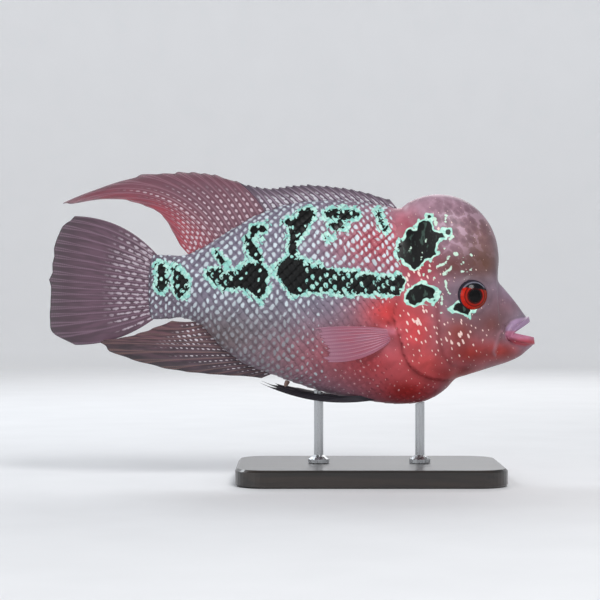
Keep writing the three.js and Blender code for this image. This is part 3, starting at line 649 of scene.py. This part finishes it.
slit_middle = scale_finish.ramp(scale_finish.math("ABSOLUTE", across), 0.5, 0.35)
slit = scale_finish.times(slit, slit_middle)
spared = scale_finish.math("MAXIMUM", spared, slit)
near_ink = scale_finish.ramp(scale_finish.value("ink"), -3.0, -2.0)
ring = scale_finish.times(scale_finish.ramp(scale_ink, -2.3, -1.9), near_ink)
mint_line = pick(scale_finish, scale_finish.noise(0.5, 2.0), 0.35, 0.65, shade("8dcfc4"), shade("bce6da"))
scale_mint = scale_finish.mix(ring, scale_ground, mint_line)
scale_black = pick(scale_finish, scale_ink, -0.3, 0.0, scale_mint, shade("030404"))
in_black = scale_finish.times(spared, scale_finish.ramp(scale_ink, -0.6, 0.0))
scale_finish.set(Base_Color=scale_finish.mix(in_black, scale_black, mint_line))

rings_per_station = 10
last_scaled_station = 14
side_turns = np.linspace(0, math.pi, 181)
table_stations = np.linspace(0, last_scaled_station, last_scaled_station * rings_per_station + 1)
section_turns, section_stations = np.meshgrid(side_turns, table_stations)
section = body_point(section_stations, section_turns, forms=False)
arc_steps = np.linalg.norm(np.diff(section, axis=1), axis=2)
arcs = np.concatenate([np.zeros((len(table_stations), 1)), np.cumsum(arc_steps, axis=1)], axis=1)
middle = len(side_turns) // 2
arcs -= arcs[:, middle : middle + 1]
middle_x = section[:, middle, 0]

scale_pitch = 4.6
row_pitch = 2.65
scale_long, scale_half_wide = 7.0, 3.15
rows_each_way = 28
first_column, last_column = -2, 33
rear_end = -70
clear_of_edge = 0.8
draw = np.random.default_rng(7)


def scale_roots():
    """The station, turn, size and side of each scale, in staggered rows along both flanks."""
    roots = []
    for side in (1, -1):
        for row in range(-rows_each_way, rows_each_way + 1):
            column_offset = 0.5 * (row % 2)
            for column in range(first_column, last_column + 1):
                x = rear_end + (column + column_offset) * scale_pitch + draw.normal(0, 0.18)
                s = row * row_pitch + draw.normal(0, 0.12)
                if x < middle_x[0] or x > middle_x[-1]:
                    continue
                size = 1.0 - 0.25 * smooth_step((-40 - x) / 30)
                s *= size
                station = np.interp(x, middle_x, table_stations)
                ring = min(int(station * rings_per_station), len(table_stations) - 1)
                if not arcs[ring, 0] + clear_of_edge < s < arcs[ring, -1] - clear_of_edge:
                    continue
                turn = np.interp(s, arcs[ring], side_turns)
                roots.append((station, turn, x, s, size, side))
    return np.array(roots)


roots = scale_roots()
root_points = body_point(roots[:, 0], roots[:, 1], forms=False)
nape_edge = [(54.4, 160), (55.6, 139), (58.4, 122)]
gill_away, gill_side = from_line(*seen(*root_points.T), nape_edge + gill_edge)
keep = (gill_side < 0) & (gill_away > 2.2) | (root_points[:, 0] < 50)
roots, root_points = roots[keep], root_points[keep]
root_station, root_turn, root_line, root_arc, root_size, root_side = roots.T
scale_cells = 6
scales = bmesh.new()
for _ in range(len(roots)):
    bmesh.ops.create_grid(scales, x_segments=scale_cells, y_segments=scale_cells, size=1)
scale_piece = finished("scales", scales, scale_finish)
scale_mesh = scale_piece.data
plate = read_points(scale_mesh)
per_scale = (scale_cells + 1) ** 2
owner = np.arange(len(plate)) // per_scale
a, b = plate[:, 0].copy(), plate[:, 1].copy()
inner = 1 - 1 / scale_cells * 2
skirt = np.maximum(np.abs(a), np.abs(b)) > 0.99
a_in = np.clip(a / inner, -1, 1)
b_in = np.clip(b / inner, -1, 1)
root_round = np.clip((a_in - 0.05) / 0.95, 0, 1) ** 2.2
outline = np.sqrt(np.clip(1 - root_round, 0.02, 1)) * (0.86 + 0.14 * smooth_step((a_in + 1) / 1.2))
along_mm = a_in * scale_long / 2 * root_size[owner]
across_mm = b_in * outline * scale_half_wide * root_size[owner]
chest = smooth_step((root_points[:, 0] + 2) / 30) * smooth_step((98 - root_points[:, 2]) / 13)
rise = 0.75 - 0.38 * chest[owner]
lift = -0.35 + rise * (a_in + 1) / 2 - 0.22 * (b_in**2) - 0.3 * skirt
vertex_x = root_line[owner] - along_mm
vertex_station = np.interp(vertex_x, middle_x, table_stations)
vertex_ring = vertex_station * rings_per_station
low_ring = np.clip(vertex_ring.astype(int), 0, len(table_stations) - 2)
ring_share = np.clip(vertex_ring - low_ring, 0, 1)
vertex_s = root_arc[owner] + across_mm


def turn_at(ring, s):
    """The turn at which each arc length lies on its ring."""
    order = np.arange(len(s))
    table = arcs[ring]
    index = np.clip((table < s[:, None]).sum(axis=1) - 1, 0, table.shape[1] - 2)
    before, after = table[order, index], table[order, index + 1]
    share = np.clip((s - before) / (after - before), -1.5, 2.5)
    return (index + share) * (side_turns[1] - side_turns[0])


low_turn, high_turn = turn_at(low_ring, vertex_s), turn_at(low_ring + 1, vertex_s)
vertex_turn = (1 - ring_share) * low_turn + ring_share * high_turn
points = body_point(vertex_station, vertex_turn, forms=False)
ahead = body_point(vertex_station + 0.02, vertex_turn, forms=False) - points
beside = body_point(vertex_station, vertex_turn + 0.01, forms=False) - points
normal = np.cross(beside, ahead)
normal /= np.maximum(np.linalg.norm(normal, axis=1, keepdims=True), 1e-9)
points += normal * (lift * root_size[owner] - scale_depth * 0.6)[:, None]
points[:, 1] *= root_side[owner]
write_points(scale_mesh, points)
root_x, root_z = root_points[owner, 0], root_points[owner, 2]
seen_x, seen_z = seen(*points.T)
write_colour(scale_mesh, "ground", ground_colour(seen_x, seen_z))
scale_jitter = draw.normal(0, 0.6, len(roots))
write_value(scale_mesh, "ink", chain_depth(seen_x, seen_z, ink_patches) + scale_jitter[owner])
root_seen_x, root_seen_z = seen(*root_points.T)
in_blotch = np.hypot(root_seen_x - 1, root_seen_z - 105) < 9
spare_chance = np.where(in_blotch, 0.05, 0.35)
write_value(scale_mesh, "spared", np.where(draw.random(len(roots)) < spare_chance, 0.06, 1.0)[owner])
in_band = (root_seen_x > 9) & (root_seen_z < 112)
in_bars = (root_seen_x > -60) & (root_seen_x < -26) & (root_seen_z < 112)
slit_chance = np.where(in_bars, 0.75, np.where(in_band, 0.75, 0))
write_value(scale_mesh, "slit", (draw.random(len(roots)) < slit_chance)[owner])
write_value(scale_mesh, "lie", a_in)
write_value(scale_mesh, "across", b_in * outline)
pearl_size = 0.31 * (1 + draw.normal(0, 0.16, len(roots))) * (1 - 0.65 * chest)
pearl_size -= 0.3 * chest * (draw.random(len(roots)) < 0.45)
pearl_size -= 0.3 * (draw.random(len(roots)) < 0.05)
pearl_size *= 1 - 0.16 * smooth_step((94 - root_seen_z) / 18)
write_value(scale_mesh, "pearl", pearl_size[owner])
slant = draw.normal(0.08, 0.14, len(roots))[owner]
slip_u, slip_v = draw.normal(0, 0.06, (2, len(roots)))[:, owner]
drawn_out = (0.95 + draw.normal(0, 0.12, len(roots)))[owner]
pearl_long = a_in - 0.5 + slant * b_in + slip_u
write_value(scale_mesh, "pearl_u", 1.2 * pearl_long / drawn_out)
tall = 0.85 - 0.2 * smooth_step((94 - root_z) / 18) * smooth_step((24 - root_x) / 30)
write_value(scale_mesh, "pearl_v", tall * (b_in * outline + slip_v) * drawn_out)
pearl_white, pearl_dull, pearl_pink = (np.array(shade(code)) for code in ("c6d2d8", "8f8e94", "dcb4b8"))
low_rear = smooth_step((94 - root_z) / 18)[:, None] * smooth_step((24 - root_x) / 30)[:, None]
low_front = smooth_step((96 - root_z) / 12)[:, None] * smooth_step((root_x - 14) / 20)[:, None]
pearl_shade = pearl_white + low_rear * (pearl_dull - pearl_white) + low_front * (pearl_pink - pearl_white)
pearl_shade *= (1 + draw.normal(0, 0.08, len(roots)))[owner][:, None]
write_colour(scale_mesh, "pearl_shade", np.clip(pearl_shade, 0, 1))
bake_map = scale_mesh.uv_layers.new(name="OFBake")
corner_vertex = np.empty(len(scale_mesh.loops), int)
scale_mesh.loops.foreach_get("vertex_index", corner_vertex)
bake_half = 0.0015
bake_u = 0.02 + 0.96 * root_station[owner] / mouth_station + a * bake_half
bake_v = 0.5 + root_side[owner] * (0.01 + 0.47 * root_turn[owner] / math.pi) + b * bake_half
bake_map.data.foreach_set("uv", np.stack([bake_u, bake_v], axis=1)[corner_vertex].ravel())
left = np.repeat(root_side > 0, scale_cells**2)
scales = bmesh.new()
scales.from_mesh(scale_mesh)
scales.faces.ensure_lookup_table()
bmesh.ops.reverse_faces(scales, faces=[scales.faces[i] for i in np.flatnonzero(left)])
scales.to_mesh(scale_mesh)
scales.free()
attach(scale_piece, "root")


# The eyes: wet balls that look out sideways, each with a black pupil in a red ring, a painted shadow
# along the upper edge and a painted glint arc above the iris. They have no lids and sit in the sockets
# of the skin.
eye_finish = Finish("wet eye", roughness=0.2, Coat_Weight=0.2, Coat_Roughness=0.03, Specular_IOR_Level=0.08)
disc_x, disc_z = eye_finish.value("disc_x"), eye_finish.value("disc_z")
disc_xx, disc_zz = eye_finish.math("POWER", disc_x, 2.0), eye_finish.math("POWER", disc_z, 2.0)
ring_gap = eye_finish.math("SQRT", eye_finish.plus(disc_xx, disc_zz))
rear_red = pick(eye_finish, disc_x, -2.0, 3.5, shade("c41f0a"), shade("86321e"))
fibres = eye_finish.ramp(eye_finish.noise(1.0, 3.0), 0.4, 0.65, 0.0, 0.35)
iris = eye_finish.mix(fibres, rear_red, shade("6e0a08"))
iris_rings = [(5.7, 5.2, "5a0705"), (5.2, 4.8, "9c1a0c"), (4.3, 3.9, "3a0504")]
for ring_outer, ring_inner, code in iris_rings:
    iris = eye_finish.mix(eye_finish.ramp(ring_gap, ring_outer, ring_inner), iris, shade(code))
# painted shadow: the top of the eye is darkened as if shaded by the socket's rim
brow_shadow_level = eye_finish.plus(disc_z, eye_finish.times(disc_x, 0.12))
iris = eye_finish.mix(eye_finish.ramp(brow_shadow_level, 3.2, 4.0), iris, shade("121419"))
glint_ring, glint_level = eye_finish.ramp(ring_gap, 6.3, 6.5), eye_finish.ramp(disc_z, 3.4, 4.4, 0, 0.6)
glint = eye_finish.times(glint_ring, glint_level)
iris = eye_finish.mix(glint, iris, shade("8a8a98"))
iris = eye_finish.mix(eye_finish.ramp(ring_gap, 6.9, 7.2), iris, shade("2c2630"))
iris = eye_finish.mix(eye_finish.ramp(ring_gap, 3.35, 3.2), iris, shade("030304"))
eye_finish.set(Base_Color=iris)
eye_turn = 0.2
ball_swell, ball_flat = 1.07, 0.8
ball_radius = ball_swell * (eye_high.z - eye_low.z) / 2 / MM
ball_shift = (-0.8, 0, 1.2)
for side, node in ((-1, "eye_right"), (1, "eye_left")):
    low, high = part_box(node)
    centre = np.array((low + high) / 2) / MM + ball_shift
    ball = bmesh.new()
    bmesh.ops.create_uvsphere(ball, u_segments=96, v_segments=48, radius=1)
    eye_piece = finished(node.replace("eye", "eyeball"), ball, eye_finish)
    local = read_points(eye_piece.data)
    gaze = np.array([math.sin(eye_turn), side * math.cos(eye_turn), 0])
    forward = np.array([math.cos(eye_turn), -side * math.sin(eye_turn), 0])
    up = np.array([0, 0, 1])
    disc = local[:, :1] * forward + local[:, 1:2] * up
    write_points(eye_piece.data, centre + ball_radius * (disc + ball_flat * local[:, 2:] * gaze))
    front = np.where(local[:, 2] > 0, 1.0, 3.0)
    write_value(eye_piece.data, "disc_x", (local[:, 0] * ball_radius - 0.4) * front)
    write_value(eye_piece.data, "disc_z", (local[:, 1] * ball_radius + 0.3) * front)
    close_up(eye_piece.data)
    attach(eye_piece, "root")
    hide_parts(node)


# The fins: thin skin stretched over jointed rays of bone, which stand up as ridges and fork
# towards the edge. The rays are rooted in the flesh.
def fin_finish(
    name, skin_code, ray_code, edge_code, dot_code, *, ray_pale, clear_from, clear_to,
    rear_code=None, dot_reach=0.6, dot_long=2.9, dot_size=0.8, dot_squeeze=0.6,
):
    """Skin between paler rays, darker to the edge, with a row of pale dots between each two rays."""
    finish = Finish(name, roughness=0.45, Coat_Weight=0.2, Coat_Roughness=0.25)
    ray, reach, run = finish.value("ray"), finish.value("reach"), finish.value("run")
    beside = finish.math("FRACT", finish.plus(ray, 0.5))
    beside = finish.math("ABSOLUTE", finish.minus(beside, 0.5))
    skin_colour = pick(finish, reach, 0.55, 1.0, shade(skin_code), shade(edge_code))
    if rear_code:
        skin_colour = finish.mix(finish.ramp(finish.value("share"), 0.4, 0.85), skin_colour, shade(rear_code))
    grain_place = {0: finish.times(ray, 2.6), 1: finish.times(run, 0.09)}
    grain_at = finish.node("CombineXYZ", 0, grain_place)
    grain = finish.node("TexNoise", 0, {"Vector": grain_at, "Scale": 1.0, "Detail": 3.0})
    skin_colour = finish.mix(finish.ramp(grain, 0.38, 0.66, 0, 0.7), skin_colour, shade(edge_code))
    joint = finish.ramp(finish.math("SINE", finish.times(run, 6.5)), -1.0, 1.0, 0.6, 1.0)
    on_ray = finish.times(finish.ramp(finish.value("ridge"), 0.35, 1.0), joint)
    colour = finish.mix(finish.times(on_ray, ray_pale), skin_colour, shade(ray_code))
    row = finish.times(finish.math("FLOOR", ray), 0.5)
    step = finish.math("FRACT", finish.plus(finish.math("DIVIDE", run, dot_long), row))
    dot_z = finish.times(finish.minus(step, 0.5), dot_long * dot_squeeze)
    dot_x = finish.times(finish.minus(0.5, beside), finish.value("spread"))
    dot_xx, dot_zz = finish.math("POWER", dot_x, 2.0), finish.math("POWER", dot_z, 2.0)
    gap = finish.math("SQRT", finish.plus(dot_xx, dot_zz))
    gap = finish.plus(gap, around(finish, finish.noise(0.45, 2.0), 0.8))
    fade = finish.ramp(reach, dot_reach, dot_reach * 0.5)
    dots = finish.times(finish.ramp(gap, dot_size + 0.15, dot_size - 0.2), fade)
    finish.set(Base_Color=finish.mix(dots, colour, shade(dot_code)))
    finish.set(Alpha=finish.ramp(reach, clear_from, 1.02, 1.0, clear_to))
    return finish


ray_seed = 3
split_wide, fine_split_wide = 0.16, 0.07


def make_fin(
    name, node, finish, rows, rays, lateral, start=0.0, stop=1.0, side=1, cells=10, steps=64,
    ray_half=(0.62, 0.12), skin_half=(0.3, 0.09), sink=3.5, fork=0.5, scallop=0.03, ragged=0.02, stalk=0,
):
    """A fin with two faces that meet at its edges. rows give, from front to rear, each ray's root, its
    tip and its bow, and lateral says how far out from the fish's middle a point lies."""
    place = keyed(rows)
    columns = (rays - 1) * cells
    fin = bmesh.new()
    for _ in range(2):
        bmesh.ops.create_grid(fin, x_segments=columns, y_segments=steps, size=1)
    piece = finished(name, fin, finish)
    grid = (read_points(piece.data)[:, :2] + 1) / 2
    face = np.where(np.arange(len(grid)) < len(grid) // 2, -1.0, 1.0)
    ray = grid[:, 0] * (rays - 1)
    root_rows = 2 / steps
    along = (grid[:, 1] - root_rows) / (1 - root_rows)
    frac = np.abs((ray + 0.5) % 1 - 0.5)
    lengths = 1 + ragged * np.random.default_rng(ray_seed).normal(size=rays + 1)
    whole = np.floor(ray).astype(int)
    ray_length = lengths[whole] + (ray - whole) * (lengths[np.minimum(whole + 1, rays)] - lengths[whole])
    outward = np.maximum(along, 0)
    t = outward * ray_length * (1 - scallop * smooth_step(frac * 2) * smooth_step(outward))

    def row_at(position):
        return start + position / (rays - 1) * (stop - start)

    def spot(position, t):
        base_x, base_z, tip_x, tip_z, bow = np.moveaxis(place(row_at(position)), -1, 0)
        long = np.hypot(tip_x - base_x, tip_z - base_z)
        off_x, off_z = -(tip_z - base_z) / long * bow, (tip_x - base_x) / long * bow
        x = base_x + (tip_x - base_x) * t + 4 * t * (1 - t) * off_x
        z = base_z + (tip_z - base_z) * t + 4 * t * (1 - t) * off_z
        pull_x, pull_z = (tip_x - base_x + 4 * off_x) / long, (tip_z - base_z + 4 * off_z) / long
        return x, z, pull_x, pull_z, long

    x, z, pull_x, pull_z, long = spot(ray, t)
    below = np.minimum(along, 0) / root_rows * (1 - root_rows) * sink
    x, z = x + below * pull_x, z + below * pull_z
    x1, z1, *_ = spot(np.minimum(ray + 0.05, rays - 1), t)
    x0, z0, *_ = spot(np.maximum(ray - 0.05, 0), t)
    spread = np.hypot(x1 - x0, z1 - z0) / 0.1
    split = split_wide * smooth_step((t - fork) / (1 - fork + 0.01)) if fork < 1 else 0
    fine = fine_split_wide * smooth_step((t - fork - 0.25) / (0.8 - fork)) if fork < 0.7 else 0
    beside = np.abs(frac - split)
    ridge = np.exp(-(((np.abs(beside - fine)) / (0.17 - 0.09 * t)) ** 2))
    ray_mm = ray_half[0] + (ray_half[1] - ray_half[0]) * t
    skin_mm = skin_half[0] + (skin_half[1] - skin_half[0]) * t
    half = skin_mm + (ray_mm - skin_mm) * ridge
    half += stalk * np.exp(-((t / 0.16) ** 2)) * np.sqrt(np.clip(1 - (2 * grid[:, 0] - 1) ** 2, 0, 1))
    edge = ((grid < 1e-6) | (grid > 1 - 1e-6)).any(axis=1)
    y = side * lateral(row_at(ray), t) + face * np.where(edge, 0, half)
    write_points(piece.data, np.stack([x, y, z], axis=1))
    named = {"ray": ray, "reach": t, "run": t * long, "spread": spread, "ridge": ridge}
    named["share"] = ray / (rays - 1)
    for attribute, values in named.items():
        write_value(piece.data, attribute, values)
    close_up(piece.data)
    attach(piece, "root")
    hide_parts(node)


def arched(rows):
    """Fin rows with each bow turned to stand off the upper side of its ray."""
    return [(*row[:5], -row[5]) for row in rows]


dorsal_rows = arched([
    (0, 54.2, 140, 50.6, 144.3, 0), (0.071, 45.5, 141.5, 38.3, 148, 0), (0.179, 32.1, 143.3, 22.9, 151, 0.3),
    (0.321, 13.6, 143.8, 2.8, 151.8, 0.5), (0.464, -3.9, 141.5, -14.6, 150.5, 0.5),
    (0.536, -12.1, 138.7, -24.9, 152.6, 1), (0.607, -20.8, 134.8, -39.8, 157.2, 1.5),
    (0.679, -28.5, 129.9, -57.3, 158.7, 3.1), (0.75, -35.7, 125.8, -84, 155.6, 7.2),
    (0.804, -39.8, 123.3, -114.9, 142.5, 15), (0.839, -42.9, 121.5, -94, 144.5, 9.5),
    (0.893, -46.5, 119.4, -75.5, 141, 4.4), (0.946, -49.6, 117.3, -66, 135.3, 1.5),
    (1, -53.2, 116.3, -57.3, 120.9, 0),
])
dorsal_split = 0.55


def dorsal_wave(across, t):
    return 1.6 * np.sin(across * 9) * smooth_step(t) * smooth_step((across - 0.45) * 2)


spiny_finish = fin_finish(
    "spiny_fin", "63505e", "a58fa8", "453846", "c6c2ca",
    ray_pale=0.6, clear_from=0.9, clear_to=0.8,
)
make_fin(
    "dorsal_spines", "dorsal_fin_spiny", spiny_finish, dorsal_rows, 19, dorsal_wave,
    stop=dorsal_split, cells=8, steps=24, fork=1.0, scallop=0.1, ray_half=(0.7, 0.2),
)
soft_finish = fin_finish(
    "soft_fin", "684552", "9a6c7a", "693a48", "c9b2ba",
    ray_pale=0.6, clear_from=0.75, clear_to=0.6, rear_code="a03442",
    dot_reach=0.75, dot_long=3.4, dot_size=0.6,
)
make_fin(
    "dorsal_rays", "dorsal_fin_soft", soft_finish, dorsal_rows, 18, dorsal_wave,
    start=dorsal_split,
)

tail_rows = arched([
    (0, -70.2, 117.3, -110.8, 135.9, 4.6), (0.08, -72.2, 115.3, -115.9, 132.8, 3.1),
    (0.17, -73.2, 112.2, -119.8, 127.1, 2.1), (0.27, -73.8, 109.1, -122.1, 120.9, 1),
    (0.4, -73.8, 104, -123.3, 112.2, 0.3), (0.5, -73.8, 99.9, -123.6, 105, 0),
    (0.62, -73.8, 95.2, -124.1, 97.8, 0), (0.74, -73.2, 91.6, -124.6, 90.1, -0.3),
    (0.85, -72.7, 88, -125, 82.9, -1), (0.93, -72.2, 85.5, -122.8, 75.5, -1.8),
    (1, -70.7, 82.9, -111.8, 69.5, -3.6),
])
tail_finish = fin_finish(
    "tail_fin", "5f4353", "866a7c", "44303b", "b2a4ae",
    ray_pale=0.6, clear_from=0.75, clear_to=0.8, dot_reach=0.5, dot_long=4.4, dot_size=0.55, dot_squeeze=0.32,
)
make_fin(
    "tail_rays", "tail_fin", tail_finish, tail_rows, 18,
    lambda across, t: t**2 * (1.5 + 3 * across), sink=3, ray_half=(0.7, 0.14), scallop=0, ragged=0.008,
)

anal_rows = [
    (0, -10.4, 54.6, -15.2, 52.6, 0), (0.12, -15.2, 56.2, -26.5, 53.6, 0),
    (0.25, -20.8, 58.2, -44.5, 54.8, 0), (0.37, -26, 60.8, -62.5, 57.1, 0),
    (0.5, -31.1, 64.4, -87.6, 63.4, 0), (0.6, -35.7, 68, -98.9, 70.6, 0),
    (0.7, -39.8, 71.6, -92.3, 72.2, 0.8), (0.8, -42.9, 75.2, -83, 74.4, 1.2),
    (0.9, -45.5, 78.8, -72.7, 77.8, 1.5),
    (1, -47.5, 81.9, -61.4, 82.1, 0.5),
]
anal_finish = fin_finish(
    "anal_fin", "4a333f", "86645e", "20171f", "c8c0c6",
    ray_pale=0.5, clear_from=0.85, clear_to=0.8, rear_code="64424a",
    dot_long=2.7, dot_size=0.5, dot_squeeze=0.85,
)
make_fin(
    "anal_rays", "anal_fin", anal_finish, anal_rows, 14,
    lambda across, t: -3.2 * t**1.5 * smooth_step(across * 1.8),
)

pectoral_rows = [
    (0, 52.6, 77.4, 12.6, 78.8, -1.5), (0.25, 53, 76.6, 13.6, 75, -0.4), (0.5, 53.2, 75.8, 15.8, 70.8, 0.9),
    (0.75, 53, 75, 17.8, 66.6, 2.3), (1, 52.4, 74.2, 18.6, 61.8, 4),
]
pectoral_finish = fin_finish(
    "pectoral_fin", "a8566a", "c495a6", "a06a80", "a8566a",
    ray_pale=0.65, clear_from=0.0, clear_to=0.6, dot_reach=0.1,
)
pelvic_rows = [
    (0, 46.5, 42.3, -13.9, 49.7, 5), (0.5, 45, 43.4, -6, 48.8, 3.4), (1, 42, 44.6, 10, 45.8, 1.2),
]
pelvic_finish = fin_finish(
    "pelvic_fin", "2c2632", "4a424e", "121014", "2c2632",
    ray_pale=0.7, clear_from=0.9, clear_to=0.8, dot_reach=0.1,
)
for side, word in ((-1, "right"), (1, "left")):
    make_fin(
        "pectoral_rays_" + word, "pectoral_fin_" + word, pectoral_finish, pectoral_rows, 11,
        lambda across, t: 21.8 + 9.2 * t - 1.2 * across,
        side=side, sink=2, ray_half=(0.6, 0.12), skin_half=(0.35, 0.07), stalk=1.9,
    )
    make_fin(
        "pelvic_rays_" + word, "pelvic_fin_" + word, pelvic_finish, pelvic_rows, 6,
        lambda across, t: 6.2 + 7 * smooth_step(0.8 * t) + 1.5 * across,
        side=side, sink=3,
    )


# The stand: a lacquered wooden base with rounded corners, and two satin steel rods with small feet
# that stand on it and hold the fish at its belly.
def refinish(node, finish):
    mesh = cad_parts[node].data
    mesh.materials.clear()
    mesh.materials.append(finish.material)


wood_finish = Finish("black lacquered wood", roughness=0.35, Coat_Weight=0.5, Coat_Roughness=0.15)
grain = wood_finish.noise(0.25, 6.0, 0.6, (0.06, 1, 1))
wood_finish.set(Base_Color=pick(wood_finish, grain, 0.35, 0.65, shade("17120f"), shade("2a211b")))
wood_finish.bump(grain, 0.15, 0.3)
refinish("stand_base", wood_finish)
steel_finish = Finish("satin steel", roughness=0.28, Metallic=1.0)
brushing = steel_finish.noise(0.8, 4.0, 0.6, (1, 1, 0.05))
steel_finish.set(Base_Color=steel_finish.mix(brushing, shade("a8aaac"), shade("c6c8ca")))
steel_finish.set(Roughness=steel_finish.ramp(brushing, 0.2, 0.8, 0.2, 0.36))
refinish("stand_rod_front", steel_finish)
refinish("stand_rod_rear", steel_finish)

# The vent papilla: a small soft nub of bare flesh at the vent, in front of the anal fin. It grows
# from the belly.
nub_finish = Finish("nub skin", roughness=0.4, Coat_Weight=0.3)
nub_finish.set(Base_Color=nub_finish.mix(nub_finish.noise(0.6), shade("7d6258"), shade("95786c")))
refinish("vent_papilla", nub_finish)
